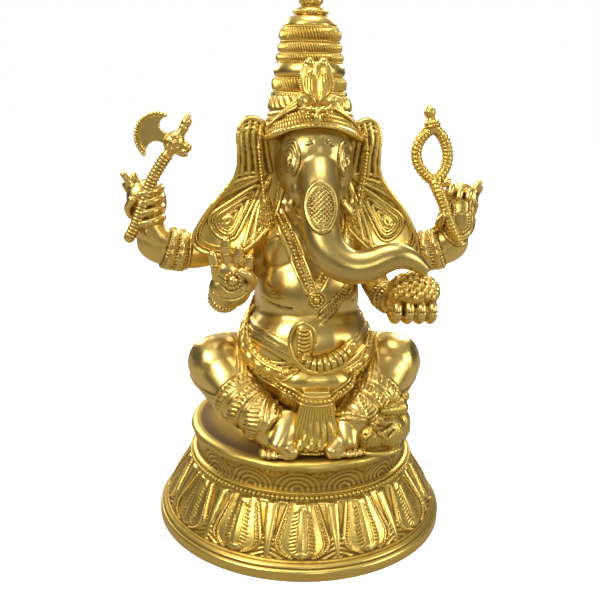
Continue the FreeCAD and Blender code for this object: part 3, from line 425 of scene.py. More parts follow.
def beadRing(bm, radius, height, bead, count, sides=8):  # a level ring of beads round Z
    ring = [(radius * math.sin(t), -radius * math.cos(t), height) for t in turns(count)]
    addBeads(bm, ring, bead, closed=True, sides=sides)


def alongLine(spots, path):  # how far each spot is from a path, and how far along it
    best, along, side = np.full(len(spots), 1e9), np.zeros(len(spots)), np.zeros(len(spots))
    before = 0.0
    for start, step in zip(path[:-1], np.diff(path, axis=0)):
        length = np.linalg.norm(step)
        if length < 1e-9:
            continue
        away = spots - start
        share = np.clip(away @ step / length ** 2, 0, 1)
        gap = np.linalg.norm(away - share[:, None] * step, axis=1)
        near = gap < best
        best[near], along[near] = gap[near], before + share[near] * length
        side[near] = np.cross(step, away[near])[:, 1]
        before += length
    return best, along, np.sign(side)


def dome(value):  # round profile: 1 at 0, falling to nothing at 1 and beyond
    return np.sqrt(np.clip(1 - value ** 2, 0, 1))


def turns(count):  # equal steps once round
    return np.linspace(0, math.tau, count, endpoint=False)


def evened(line, passes):  # takes the jitter out of a run of places
    for i in range(passes if len(line) > 2 else 0):
        line[1:-1] = line[1:-1] * 0.5 + (line[:-2] + line[2:]) * 0.25
    return line


class Clay:  # a mesh held as arrays while relief is pressed into it
    def __init__(self, mesh):
        self.mesh = mesh
        count = len(mesh.vertices)
        self.spots = np.empty(count * 3)
        mesh.vertices.foreach_get("co", self.spots)
        self.spots = self.spots.reshape(-1, 3)
        self.links = np.empty(len(mesh.edges) * 2, int)
        mesh.edges.foreach_get("vertices", self.links)
        self.links = self.links.reshape(-1, 2)
        self.joined = np.maximum(1, np.bincount(self.links.ravel(), minlength=count))
        self.relief = np.zeros(count)
        self.settle()

    def settle(self):  # hands the places to the mesh and reads the normals back
        self.mesh.vertices.foreach_set("co", self.spots.ravel())
        self.mesh.update()
        self.normals = np.empty(self.spots.size)
        self.mesh.vertex_normals.foreach_get("vector", self.normals)
        self.normals = self.normals.reshape(-1, 3)

    def average(self, values):
        a, b = self.links.T
        count = len(self.spots)
        return np.column_stack([
            (np.bincount(a, v[b], count) + np.bincount(b, v[a], count)) / self.joined for v in values.T])

    def smooth(self, passes):
        for i in range(passes):
            self.spots += (self.average(self.spots) - self.spots) * 0.5
        self.settle()

    def lay(self, path, facing=(0, -1, 0), reach=1.4):  # drops a path onto the surface from one side
        facing = np.array(facing, float) / np.linalg.norm(facing)
        front = self.normals @ facing > 0.05
        spots = self.spots[front]
        laid = []
        for place in path:
            away = spots - place[:3]
            ahead = away @ facing
            gap = np.linalg.norm(away - ahead[:, None] * facing, axis=1)
            near = gap < reach
            if near.any():
                laid.append(place[:3] + facing * ahead[near].max())
        return evened(np.array(laid).reshape(-1, 3), 4)

    def line(self, path, width, height, kind="round", pitch=2.0, step=0.8, facing=(0, -1, 0)):
        path = np.array(path, float)
        if path.shape[1] == 2:
            path = np.column_stack([path[:, 0], np.zeros(len(path)), path[:, 1]])
        path = self.lay(smoothPath(path, step), facing)
        if len(path) < 2:
            return path
        low, high = path.min(0) - width, path.max(0) + width
        near = np.all((self.spots > low) & (self.spots < high), axis=1)
        if not near.any():
            return path
        gap, along, side = alongLine(self.spots[near], path)
        share = np.clip(1 - (gap / width) ** 2, 0, 1)
        shape = np.sqrt(share)
        if kind == "rope":
            shape = shape * (0.62 + 0.38 * np.sin(math.tau * (along + side * gap * 0.8) / pitch))
        elif kind == "ticks":
            shape = shape * (0.45 + 0.55 * (np.sin(math.tau * along / pitch) > 0))
        elif kind == "soft":
            shape = share ** 2
        rise = height * shape
        old = self.relief[near]
        self.relief[near] = np.maximum(old, rise) if height > 0 else np.minimum(old, rise)
        return path

    def press(self):  # moves the surface by the relief drawn so far
        self.spots += self.normals * self.relief[:, None]
        self.relief[:] = 0
        self.settle()

    def hollows(self):  # 0 on high places, up to 1 in narrow deep ones
        total = np.zeros(len(self.spots))
        smoothed, done = self.spots.copy(), 0
        for passes, scale in ((3, 0.10), (12, 0.28), (40, 0.65)):
            for i in range(passes - done):
                smoothed += (self.average(smoothed) - smoothed) * 0.6
            done = passes
            total = np.maximum(total, np.sum((smoothed - self.spots) * self.normals, axis=1) / scale)
        return np.clip(total, 0, 1)


def remeshed(bm, voxel, passes=2):  # one closed skin over everything in the pile
    mesh = bm.mesh("clay")
    body = bpy.data.objects.new("clay", mesh)
    bpy.context.scene.collection.objects.link(body)
    skin = body.modifiers.new("skin", "REMESH")
    skin.mode, skin.voxel_size = "VOXEL", voxel
    shaped = body.evaluated_get(bpy.context.evaluated_depsgraph_get())
    fine = bpy.data.meshes.new_from_object(shaped)
    bpy.data.objects.remove(body)
    bpy.data.meshes.remove(mesh)
    clay = Clay(fine)
    clay.smooth(passes)
    return clay


def settlePiece(name, clay, extra, nodes, material):
    # turns clay and its separate beads into one finished piece that stands for CAD nodes
    pile, hollow = Pile(), []
    if clay is not None:
        hollow.append(clay.hollows())
        pile.takeMesh(clay.mesh)
    if extra is not None and extra.count:
        hollow.append(np.zeros(extra.count))
        pile.takeMesh(extra.mesh("loose"))
    pile.spots = [spots * mm for spots in pile.spots]
    mesh = pile.mesh(name)
    mark = mesh.attributes.new("hollow", "FLOAT", "POINT")
    mark.data.foreach_set("value", np.concatenate(hollow))
    mesh.shade_smooth()
    mesh.materials.append(material)
    piece = bpy.data.objects.new(name, mesh)
    bpy.context.scene.collection.objects.link(piece)
    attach(piece, "root")
    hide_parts(*nodes)
    triangles = sum(len(f.vertices) - 2 for f in mesh.polygons)
    print("made", name, triangles, "triangles", round(time.time() - started, 1), "s")


# lotus pedestal
lotus = {"petals": 13, "phase": -4.3, "steps": 936, "rise": 2.3}


def petalWidth(up):  # half width of the big petal, round at its foot and narrower towards its neck
    foot = np.clip((up - 0.02) / 0.34, 0, 1)
    return (0.455 - 0.20 * up ** 1.3) * (0.12 + 0.88 * np.sqrt(foot * (2 - foot)))


def petalRelief(turn, up):
    # turn runs -0.5 to 0.5 across one petal's share of the ring, up runs 0 at its foot to 1 at its neck
    wide = petalWidth(up)
    across = np.abs(turn) / np.maximum(wide, 0.02)
    inside = across < 1

    def ridge(value, middle, half, height):
        return height * dome((value - middle) / half)

    relief = np.where(inside, 0.55, 0.30)
    relief = np.maximum(relief, ridge(across, 0.94, 0.07, 1.0))
    relief = np.maximum(relief, ridge(across, 0.79, 0.05, 0.78) * inside)
    relief = np.maximum(relief, np.where(across < 0.50, 0.42 + 0.55 * dome(across / 0.5), 0))
    tongue = (across < 0.2) & (up > 0.12) & (up < 0.9)
    relief = np.where(tongue, 0.74 + 0.24 * (1 - across / 0.2), relief)
    herring = (across > 0.23) & (across < 0.46) & (up > 0.10) & (up < 0.86)
    ticks = 0.5 + 0.5 * np.sin(math.tau * (up * 15 + across * 2.2))
    relief = np.where(herring, relief - 0.26 * ticks, relief)
    # narrow leaf between the big petals, with short arcs at its foot
    gap = np.minimum(np.abs(turn - 0.5), np.abs(turn + 0.5))
    slim = 0.022 + 0.085 * up ** 0.8
    leaf = gap / slim
    relief = np.where(~inside & (leaf < 1), 0.42 + 0.4 * dome(leaf), relief)
    arcs = ~inside & (leaf >= 1) & (up < 0.42)
    relief = np.where(arcs, 0.42 + 0.20 * np.sin(math.tau * (up * 11 + gap * 6)), relief)
    return relief


def makePedestal():
    high = edges("lotus_pedestal")[1]
    rim, top = high[0], high[2]
    skirt = [(81.6, 10.4), (79.8, 14.4), (77.8, 18.4), (75.5, 22.4), (73.0, 26.4), (70.4, 30.4), (68.2, 34.0),
             (67.0, 35.4)]
    skirt = [tuple(p) for p in smoothPath(np.insert(np.array(skirt), 1, 0, axis=1), 0.55)[:, [0, 2]]]
    outline = [(rim, 0.0), (rim, 0.6)]
    outline += [(rim - 0.05, 2.0), (rim, 4.0), (rim - 0.3, 5.2), (rim - 1.0, 5.9), (rim - 1.7, 6.1),
                (rim - 2.0, 6.6),
                (rim - 1.9, 7.0), (rim - 2.6, 7.6), (rim - 4.0, 8.5), (rim - 4.6, 9.2), (rim - 5.2, 9.5)]
    outline += skirt + [(66.4, top), (48.0, top), (48.0, 32.0), (62.5, 32.0), (70.0, 24.0), (76.0, 14.0),
                        (79.0, 6.0),
                        (83.0, 0.0)]
    clay = turnedClay(outline, lotus["steps"])
    x, y, z = clay.spots.T
    radius, angle = np.hypot(x, y), np.degrees(np.arctan2(x, -y))
    share = 360 / lotus["petals"]
    turn = ((angle - lotus["phase"]) / share + 0.5) % 1 - 0.5
    outer = (clay.normals[:, 0] * x + clay.normals[:, 1] * y > 0) & (z > 10.0) & (z < 35.2)
    up = np.clip((z - 10.0) / 25.0, 0, 1)
    fade = np.clip((z - 9.6) / 1.0, 0, 1) * np.clip((35.6 - z) / 1.2, 0, 1)
    rise = (petalRelief(turn, up) - 0.55) * lotus["rise"] * fade
    clay.spots += clay.normals * np.where(outer, rise, 0)[:, None]
    clay.settle()
    beads = Pile()
    for i in range(lotus["petals"]):
        middle = math.radians(lotus["phase"] + i * share)
        half = math.radians(share)
        for side in (-1, 1):
            path = []
            for up in (0.035, 0.07, 0.12, 0.19, 0.28, 0.40, 0.55, 0.74, 0.93):
                wide = petalWidth(up)
                turn = middle + side * 0.865 * wide * half
                height = 10 + 25 * up
                reach = np.interp(height, [10, 18.4, 26.4, 35], [82.2, 78.4, 73.6, 67.8]) + 0.5
                path.append((reach * math.sin(turn), -reach * math.cos(turn), height))
            addBeads(beads, path, 0.62, 2.35, sides=6)
    settlePiece("lotusPedestal", clay, beads, ["lotus_pedestal"], brass["cast"])


# seat
throne = {"steps": 900, "rings": 0.42}


def makeSeat():
    low, high = edges("seat")
    foot, top, lip = low[2], high[2], high[0]
    wall = [(lip - 0.4, foot + 5.0), (lip - 3.0, foot + 6.0), (lip - 3.6, foot + 8.0),
            (lip - 3.2, foot + 12.0),
            (lip - 2.2, foot + 15.5), (lip - 0.6, foot + 18.2)]
    wall = [tuple(p) for p in smoothPath(np.insert(np.array(wall), 1, 0, axis=1), 0.6)[:, [0, 2]]]
    outline = [(lip - 7.0, foot), (lip - 0.8, foot), (lip - 0.5, foot + 0.8), (lip - 0.5, foot + 4.2)] + wall
    outline += [(lip, top - 3.6), (lip + 0.1, top - 2.4), (lip - 0.5, top - 1.2), (lip - 1.8, top - 0.35),
                (lip - 4.0, top + 0.1), (lip - 6.0, top - 0.3), (lip - 8.0, top - 0.5), (40.0,
                        top - 0.1), (10.0, top),
                (4.4, top), (4.4, top - 6.0), (lip - 7.0, top - 6.0)]
    clay = turnedClay(outline, throne["steps"])
    x, y, z = clay.spots.T
    angle = np.degrees(np.arctan2(x, -y))
    outward = clay.normals[:, 0] * x + clay.normals[:, 1] * y > 0
    band = outward & (z > foot + 5.2) & (z < top - 2.6)
    # overlapping scallops with concentric arcs, and shell fans that climb onto the lip
    share = 24.0
    turn = ((angle + 7.0) / share + 0.5) % 1 - 0.5
    across, up = turn * share * math.radians(1) * 65, z - (foot + 5.0)
    far = np.hypot(across, up * 1.15)
    scallop = 0.5 + 0.5 * np.cos(math.tau * far / 3.1)
    fan = ((angle + 7.0 + share / 2) / share + 0.5) % 1 - 0.5
    fanAcross, fanUp = fan * share * math.radians(1) * 65, (top - 1.0) - z
    fanFar = np.hypot(fanAcross, fanUp)
    ribs = 0.5 + 0.5 * np.cos(np.arctan2(fanAcross, np.maximum(fanUp, 0.1)) * 13)
    edge = np.clip((9.6 - fanFar) / 1.0, 0, 1)
    relief = scallop * 0.9 * (far < 13.2) + 0.2
    relief = relief * (1 - edge) + edge * (1.0 + 0.8 * ribs)
    fade = np.clip((z - foot - 5.2) / 1.2, 0, 1) * np.clip((top - 1.8 - z) / 1.6, 0, 1)
    clay.spots += clay.normals * np.where(band, (relief - 0.3) * throne["rings"] * fade, 0)[:, None]
    clay.settle()
    beads = Pile()
    for reach, height, size in ((lip + 0.2, foot + 2.4, 1.35), (lip - 0.4, foot + 0.4, 0.55),
                                (lip - 0.7, foot + 4.7, 0.6)):
        beadRing(beads, reach, height, size, 48, 8 if size > 1 else 6)
    settlePiece("seat", clay, beads, ["seat"], brass["olive"])


# face and trunk
face = {"aside": 2.3, "voxel": 0.55, "eyeApart": 13.4, "eyeUp": 158.5, "plaque": (2.0, 137.5, 8.0, 12.3)}


def addPlate(pile, line, depth, thick):  # a flat outline, drawn out backwards from a depth
    part = bmesh.new()
    face = part.faces.new([part.verts.new((p[0], depth, p[2])) for p in line])
    drawn = bmesh.ops.extrude_face_region(part, geom=[face])["geom"]
    bmesh.ops.translate(part, vec=(0, thick, 0), verts=[g
                        for g in drawn if isinstance(g, bmesh.types.BMVert)])
    bmesh.ops.recalc_face_normals(part, faces=part.faces)
    bmesh.ops.triangulate(part, faces=part.faces)
    addPart(pile, part)


def up(points):  # heights given above the seat's top
    return [(p[0], p[1], p[2] + seatTop, *p[3:]) for p in points]


def ball(bm, x, y, z, size, tilt=(0, 0, 0), fine=20):
    addBall(bm, (x, y, z + seatTop), size, tilt, fine)


def tube(bm, stations, **more):
    addTube(bm, up(stations), **more)


def draw(clay, path, width, height, **more):  # path of x and height above the seat, seen from the front
    return clay.line([(p[0], p[1] + seatTop) for p in path], width, height, **more)


def arc(cx, cz, rx, rz, start, end, count=14):
    turns = [math.radians(start + (end - start) * i / (count - 1)) for i in range(count)]
    return [(cx + rx * math.cos(t), cz + rz * math.sin(t)) for t in turns]


trunkLine = [(2.6, -20, 160, 11.5), (2.7, -28, 157, 11.5), (2.7, -34.5, 151, 11.2), (2.6, -41.5, 144, 10.8),
             (2.4, -46.5, 136, 10.2), (2.8, -50.5, 126, 10.0), (5.0, -55, 117, 9.9), (10.5, -59, 110.5, 9.6),
             (18, -61.5, 107.6, 9.0), (27, -62, 108.8, 8.3), (35, -61.8, 112.2, 7.6), (42, -61.5, 113.4, 6.8),
             (49, -61, 111.0, 5.5), (54.5, -60.6, 107.2, 4.0), (57.5, -60.4, 104.6, 3.2)]


def makeFace():
    bm = Pile()
    mid = face["aside"]
    ball(bm, mid, -12, 157, (22.0, 24, 26))
    ball(bm, mid, -5, 148, (19, 17, 24))
    ball(bm, mid, -21, 160, (20.8, 18.8, 19.2))
    tube(bm, trunkLine, sides=24)
    for side in (-1, 1):
        ball(bm, mid + side * 11.6, -24, 153, (8.6, 14, 15), (10, 0, 0))
        ball(bm, mid + side * 9.6, -28, 142, (7.2, 11, 10))
        ball(bm, mid + side * 13.4, -31.5, 158.5, (4.2, 4.4, 5.4), (0, 0, side * 24))
    ball(bm, mid, -24, 132, (12, 12, 8))
    clay = remeshed(bm, face["voxel"], 26)
    beads = Pile()
    for side in (-1, 1):
        x, z = mid + side * face["eyeApart"], face["eyeUp"]
        facing = (side * 0.55, -1, 0)

        def lined(path, width, height):
            clay.line([(p[0], -30, p[1] + seatTop) for p in path], width, height, facing=facing, step=0.4)

        for reach, width, height in ((7.6, 1.0, 1.1), (5.9, 0.9, 1.0), (4.3, 0.75, 0.8)):
            lined([(x - side * (p[0] - x), p[1]) for p in arc(x, z + 0.6, reach * 0.86, reach * 1.25, 150,
                   -50)],
                  width, height)
        lined([(x - side * (p[0] - x), p[1]) for p in arc(x, z, 3.1, 1.9, 10, 175)], 0.6, 0.55)
        lined([(x - side * (p[0] - x), p[1]) for p in arc(x, z, 3.1, 1.9, -5, -175)], 0.6, 0.5)
        lined([(x, z - 0.5), (x, z + 0.5)], 1.15, 0.75)
        lined([(x - side * (p[0] - x), p[1]) for p in arc(x, z - 1, 4.4, 4.6, -40, -150)], 0.5, -0.35)
        for tip in (3.2, 0.6, -1.8):
            draw(clay, [(mid + side * 3.4, 168.5 + tip * 0.35), (mid + side * 7.2, 168.5 + tip)],
                 0.7, -0.75, step=0.3)
        draw(clay, [(mid + side * 11.4, 150), (mid + side * 11.0, 143), (mid + side * 9.6, 137)], 0.8, -0.4)
    clay.press()
    # oval plaque on the front of the trunk
    px, pz, wide, tall = face["plaque"]
    x, y, z = clay.spots[:, 0] - px, clay.spots[:, 1], clay.spots[:, 2] - seatTop - pz
    far = np.hypot(x / wide, z / tall)
    front = (clay.normals[:, 1] < -0.15) & (y < -40)
    rise = np.where(far < 1.04, 0.55, 0)
    rise = np.maximum(rise, 1.15 * dome((far - 0.96) / 0.085))
    hatch = np.abs(np.sin(math.pi * (x + z) / 2.3)) * np.abs(np.sin(math.pi * (x - z) / 2.3))
    rise = np.where(far < 0.66, 0.35 + 0.75 * hatch, rise)
    rise = np.maximum(rise, 0.9 * dome((far - 0.70) / 0.05))
    clay.relief = np.where(front, rise, 0)
    clay.press()
    ring = clay.lay([(px + wide * 0.83 * math.cos(t), 0, pz + seatTop + tall * 0.83 * math.sin(t))
                     for t in turns(40)])
    addBeads(beads, ring, 0.62, 2.2, closed=True, sides=6)
    draw(clay, arc(px, pz, wide * 1.22, tall * 1.16, 35, 145), 0.9, 0.55)
    clay.press()
    settlePiece("faceAndTrunk", clay, beads, ["head", "trunk"], brass["satin"])


tuskVoxel = 0.45
tusks = [  # piece, node, side, length, radius near the tip and at it
    ("rightTusk", "right_tusk", -1, 9.0, 2.2, 1.9),  # broken short
    ("leftTusk", "left_tusk", 1, 17.0, 1.7, 1.0)]


def makeTusks():
    for name, node, side, length, near, tip in tusks:
        bm = Pile()
        way = Vector((side * 0.42, -0.62, -0.66)).normalized()
        root = Vector((face["aside"] + side * 11.5, -31, 139 + seatTop))
        stations = [(*(root + way * length * t + Vector((0, 0, 1.6 * t * t * length / 9))), r)
                    for t, r in ((0, 3.4), (0.3, 3.1), (0.65, 2.5), (0.92, near), (1, tip))]
        addTube(bm, stations, sides=20, step=0.8)
        clay = remeshed(bm, tuskVoxel, 3)
        for spot in (0.16, 0.30):
            middle = root + way * length * spot
            along = (clay.spots - np.array(middle)) @ np.array(way)
            clay.relief = np.maximum(clay.relief, 0.55 * dome(along / 0.8))
        clay.press()
        settlePiece(name, clay, None, [node], brass["satin"])


# ears
ear = {"voxel": 0.6, "thick": 3.4,
       "outline": [(24, 177), (30, 180), (36, 179), (39.5, 172), (39.5, 162), (39.5, 153), (42, 146),
                   (48, 138), (55, 130),
                   (61, 121), (65, 113), (65.5, 107), (62, 103.5), (55, 102), (46, 102.5), (38, 105), (31,
                           110),
                   (23, 118), (17, 128), (13, 142), (12, 158), (15, 172)],
       "root": (21, 149), "drop": (45.5, 122.0)}


def earDepth(x, z):
    low = np.clip((134 - z) / 26, 0, 1) * np.clip((62 - x) / 26, 0, 1)
    return -11.5 - 7.5 * low + 0.0042 * np.maximum(0, x - 30) ** 2 + 1.2 * np.cos((x + z) / 9)


def makeEar(name, node, side):
    line = smoothPath([(x, 0, z + seatTop) for x, z in ear["outline"]], 1.5, closed=True)[:-1]
    pile = Pile()
    addPlate(pile, line, 0, ear["thick"])
    clay = remeshed(pile, ear["voxel"], 6)
    clay.spots[:, 1] += earDepth(clay.spots[:, 0], clay.spots[:, 2] - seatTop)
    clay.settle()
    beads = Pile()

    def lined(path, width, height, rows=None, **more):
        laid = draw(clay, path, width, height, **more)
        if rows and len(laid) > 3:
            addBeads(beads, laid + np.array((0, -0.25, 0)), rows, 2.1, sides=6)

    centre = np.array([(p[0], p[2] - seatTop) for p in line]).mean(0)
    for inset, width, height, rows in ((0.965, 1.1, 1.1, None), (0.90, 0.5, 0.3, 0.62),
                                       (0.845, 0.7, 0.6, None)):
        path = [centre + (np.array((p[0], p[2] - seatTop)) - centre) * inset for p in line[2:-14]]
        lined(path, width, height, rows)
    # nested drops that point to the ear's root
    root, drop = np.array(ear["root"]), np.array(ear["drop"])
    way = (root - drop) / np.linalg.norm(root - drop)
    across = np.array((way[1], -way[0]))
    for size, width, height, rows in ((1.0, 0.85, 1.0, None), (0.83, 0.45, 0.25, 0.6),
                                      (0.68, 0.75, 0.9, None),
                                      (0.50, 0.7, 0.8, None), (0.33, 0.7, 0.9, None), (0.17, 1.1, 1.0, None)):
        path = []
        for turn in np.linspace(-math.pi, math.pi, 31):
            narrow = (1 + math.cos(turn)) / 2
            reach = size * (9.6 + 17.5 * narrow ** 3)
            sideways = across * size * 10.6 * math.sin(turn) * (1 - 0.45 * narrow)
            path.append(drop + way * reach * math.cos(turn) + sideways)
        lined(path, width, height, rows)
    # ribs that spread from the root to the rim, each side of the drop
    for end in ((27, 113), (32, 106.5), (38, 103.5), (29, 124), (62, 126), (57, 133), (50, 140), (44, 147)):
        start = root + (np.array(end) - root) * 0.12
        bend = (root + np.array(end)) / 2 + across * 1.5
        lined([start, bend, end], 0.9, 0.75, kind="rope" if end[0] % 2 else "round", pitch=1.6)
    for step in range(5):  # combed lines on the upper lobe
        x = 22.5 + step * 3.4
        lined([(x, 177), (x + 1.8, 168), (x + 0.4, 158), (x - 1.5 + step * 0.6, 150 - step * 0.5)], 1.0, 0.8)
    clay.press()
    if side < 0:
        beads.spots = [spots * (-1, 1, 1) for spots in beads.spots]
        beads.corners = [corners[::-1] for corners in beads.corners]
        beads.sides = [sides[::-1] for sides in beads.sides]
        clay.spots[:, 0] *= -1
        clay.settle()
        clay.mesh.flip_normals()
        clay.settle()
    settlePiece(name, clay, beads, [node], brass["cast"])


# crown
crown = {"steps": 540, "lean": -5.6, "drum": 29.5}
crownBands = [  # height share on the brow band, half height in mm, rise, twists round the band
    (0.04, 1.6, 1.5, 0), (0.17, 1.5, 1.4, 96), (0.30, 1.4, 1.3, 108), (0.42, 1.3, 1.2, 96), (0.53, 1.1, 1.0,
            0),
    (0.76, 3.3, 2.0, 34), (0.96, 1.0, 0.9, 84)]


def crownPlace(angle, share, out=0.0):
    # a place on the brow band, which leans forward and arches over the brow
    low, high = edges("crown_band")
    radius = 28.0 * (1 - share) + 20.2 * share - 1.2 * math.sin(math.pi * share) + out
    front = max(0.0, math.cos(angle))
    x = radius * math.sin(angle) + 1.6 * (1 - share)
    y = -radius * (1.06 - 0.06 * share) * math.cos(angle) + crown["lean"] * (1 - share)
    z = low[2] + (high[2] - low[2]) * share + (1 - share) * (9.5 * front ** 2 - 5.2)
    return x, y, z


def makeCrownBand():
    # a plain drum first, with its height standing for the share of the band
    wide = crown["drum"]
    wall = [(wide, share * 100) for share in np.linspace(0, 1, 44)]
    clay = turnedClay([(0.01, -2.0), (14.0, -2.0), (wide - 6, 0)] + wall
                      + [(wide - 5, 100), (14.0, 104.0), (0.01, 104.0)], crown["steps"])
    flat = clay.spots.copy()
    for i, (x, y, z) in enumerate(flat):
        share = min(1.0, max(0.0, z / 100))
        clay.spots[i] = crownPlace(math.atan2(x, -y), share, math.hypot(x, y) - wide)
    clay.settle()
    angle, share = np.arctan2(flat[:, 0], -flat[:, 1]), flat[:, 2] / 100
    skin = (np.hypot(flat[:, 0], flat[:, 1]) > 28) & (share >= 0) & (share <= 1)
    tall = edges("crown_band")[1][2] - edges("crown_band")[0][2]
    rise = np.zeros(len(flat))
    beads = Pile()
    for middle, half, height, twists in crownBands:
        away = (share - middle) * tall / half
        shape = dome(away)
        if twists:
            shape = shape * (0.68 + 0.32 * np.sin(angle * twists + away * 2.2))
        rise = np.maximum(rise, height * shape)
        if not twists:
            ring = [crownPlace(t, middle, height * 0.55) for t in turns(60)]
            addBeads(beads, ring, 1.15 if middle < 0.1 else 0.8, closed=True)
    clay.spots += clay.normals * np.where(skin, rise, 0)[:, None]
    clay.settle()
    # leaf sprays that sweep back from the crest, jewels and tassels by the ears
    for side in (-1, 1):
        for lift, length in ((0.70, 0.62), (0.80, 0.46), (0.60, 0.78)):
            path = [(*crownPlace(side * (0.38 + length * t), lift - 0.34 * t, 2.0), 1.5 - 1.0 * t)
                    for t in (0, 0.3, 0.6, 1)]
            addTube(beads, path, sides=10, step=1.0, flat=0.7)
        x, y, z = crownPlace(side * 1.28, 0.12, 3.2)
        flowers = [((x, y, z), 3.1), ((x + side * 0.6, y - 1.0, z - 7.2), 3.0)]
        for middle, size in flowers:
            addBall(beads, middle, (size * 0.62, size * 0.62, size * 0.62), fine=16)
            ring = [(middle[0] + side * 0.3, middle[1] + size * math.cos(t), middle[2] + size * math.sin(t))
                    for t in turns(12)]
            addBeads(beads, ring, size * 0.30, 2.1, closed=True)
        for shift, drop in ((2.4, 27), (-2.2, 20)):
            path = [(x + side * 0.8, y - 2.6 - shift, z - 9.5),
                    (x - side * 0.6, y - 3.5 - shift, z - 9.5 - drop * 0.5),
                    (x - side * 2.4, y - 4.0 - shift, z - 9.5 - drop)]
            addBeads(beads, path, 1.05, 1.75)
            addBall(beads, path[-1], (1.5, 1.5, 2.3), fine=12)
    settlePiece("crownBand", clay, beads, ["crown_band"], brass["cast"])


crownTiers = [  # height above the tiers' foot and radius
    (0.0, 18.4), (0.6, 19.2), (1.6, 19.9), (4.0, 20.2), (6.3, 19.8), (7.0, 18.6), (7.8, 18.4), (9.5,
            19.5), (12.0, 19.5),
    (14.5, 18.5), (15.4, 17.6), (15.9, 17.4), (17.6, 18.2), (19.4, 17.6), (20.0, 16.6), (20.6, 16.5), (22.6,
            17.3),
    (24.8, 16.8), (25.8, 15.8), (26.6, 15.6), (27.4, 15.8), (29.0, 16.5), (31.2, 16.2), (32.8, 15.0), (33.6,
            14.2),
    (35.0, 14.5), (37.2, 13.4), (38.8, 11.6), (39.6, 9.6), (40.0, 8.0)]


def makeCrownTiers():
    low, high = edges("crown_tiers")
    fine = smoothPath([(r, 0, low[2] + h) for h, r in crownTiers], 0.42)[:, [0, 2]]
    clay = turnedClay([(0.01, low[2] - 0.5), (20.0, low[2] - 0.5)] + [tuple(p)
                      for p in fine] + [(0.01, high[2])], 480)
    x, y, z = clay.spots.T
    angle, rise = np.arctan2(x, -y), z - low[2]
    relief = np.zeros(len(z))
    for start, end, twists, height in ((0.8, 6.9, 72, 0.6), (15.9, 19.8, 80, 0.5), (20.8, 25.2, 76, 0.45),
                                       (27.0, 33.2, 60, 0.6)):
        inside = np.clip((rise - start) * 2, 0, 1) * np.clip((end - rise) * 2, 0, 1)
        relief += inside * height * np.sin(angle * twists + (rise - start) * 1.2)
    clay.spots += clay.normals * relief[:, None]
    clay.settle()
    beads = Pile()
    for height, radius, size in ((7.3, 18.9, 0.6), (15.6, 17.8, 0.55), (20.2, 16.9, 0.5), (26.2, 16.0, 0.55),
                                 (33.6, 14.6, 0.6)):
        beadRing(beads, radius, low[2] + height, size, 40)
    settlePiece("crownTiers", clay, beads, ["crown_tiers"], brass["cast"])


finial = {"steps": 144, "flutes": 12, "bead": 0.95}


def makeFinial():
    low, high = edges("crown_finial")
    outline = [(0.01, 0), (8.0, 0), (8.9, 0.8), (9.0, 2.2), (8.2, 3.2), (6.6, 3.8), (5.4, 4.6), (5.2, 5.4),
               (5.9, 6.2),
               (6.3, 7.4), (5.8, 8.8), (4.4, 10.2), (2.8, 11.3), (1.7, 12.2), (1.2, 13.0), (0.01,
                       high[2] - low[2])]
    fine = smoothPath([(r, 0, low[2] + h) for r, h in outline], 0.4)[:, [0, 2]]
    clay = turnedClay([(max(0.005, r), z) for r, z in fine], finial["steps"])
    x, y, z = clay.spots.T
    bulb = (z > low[2] + 5.4) & (z < high[2] - 1.5)
    clay.spots += clay.normals * np.where(bulb, 0.3 * np.sin(np.arctan2(x, y) * finial["flutes"]), 0)[:, None]
    clay.settle()
    beads = Pile()
    beadRing(beads, 8.9, low[2] + 1.6, finial["bead"], 30)
    settlePiece("crownFinial", clay, beads, ["crown_finial"], brass["cast"])


crest = {"aside": 0.8, "foot": 184.5, "voxel": 0.45}


def makeCrest():
    mid, foot = crest["aside"], crest["foot"]

    def depth(z):  # the crest leans back with the crown
        return -35.0 + (z - foot) * 0.42

    pile = Pile()
    for side in (-1, 1):
        ball(pile, mid + side * 3.9, depth(foot + 13), foot + 13, (4.7, 2.4, 11.6), (-22, side * 7, 0))
        ball(pile, mid + side * 3.4, depth(foot + 23) - 0.6, foot + 23.2, (2.9, 2.2, 2.9))
        ball(pile, mid + side * 8.0, depth(foot + 4), foot + 4.4, (2.6, 1.8, 3.4), (0, side * 24, 0))
    ball(pile, mid, depth(foot + 8) + 1.4, foot + 9, (8.4, 2.2, 8.5), (-22, 0, 0))
    ball(pile, mid, depth(foot + 19) - 0.8, foot + 19, (1.9, 1.9, 5.4), (-22, 0, 0))
    for i in range(-2, 3):
        ball(pile, mid + i * 3.3, depth(foot) - 1.0, foot + 0.4 * abs(i), (1.75, 1.5, 1.75), fine=14)
    ball(pile, mid, depth(foot - 4) - 0.6, foot - 4.4, (2.3, 1.5, 3.6))
    clay = remeshed(pile, crest["voxel"], 2)
    for side in (-1, 1):
        for lift in range(4):
            draw(clay, [(mid + side * (1.2 + lift * 0.5), foot + 3.5 + lift),
                        (mid + side * (2.6 + lift * 1.3), foot + 9.5),
                        (mid + side * (2.2 + lift * 1.5), foot + 16.5), (mid + side * (1.4 + lift * 0.7),
                                foot + 22.0 - lift)],
                 0.7, 0.75, step=0.4)
    clay.press()
    beads = Pile()
    for side in (-1, 1):
        path = [(mid + side * x, depth(foot + z) - 1.0, foot + z) for x, z in ((7.6, 7.5), (8.7, 13.0),
                (7.6, 18.5), (5.4, 22.0))]
        addBeads(beads, up(path), 0.62, 2.1, sides=6)
    for i in range(-3, 4):
        addBall(beads, (mid + i * 2.5, depth(foot - 2.5) - 1.4, foot - 2.6 + seatTop + 0.15 * i * i),
                0.85, fine=8)
    settlePiece("crownCrest", clay, beads, ["crown_crest"], brass["cast"])


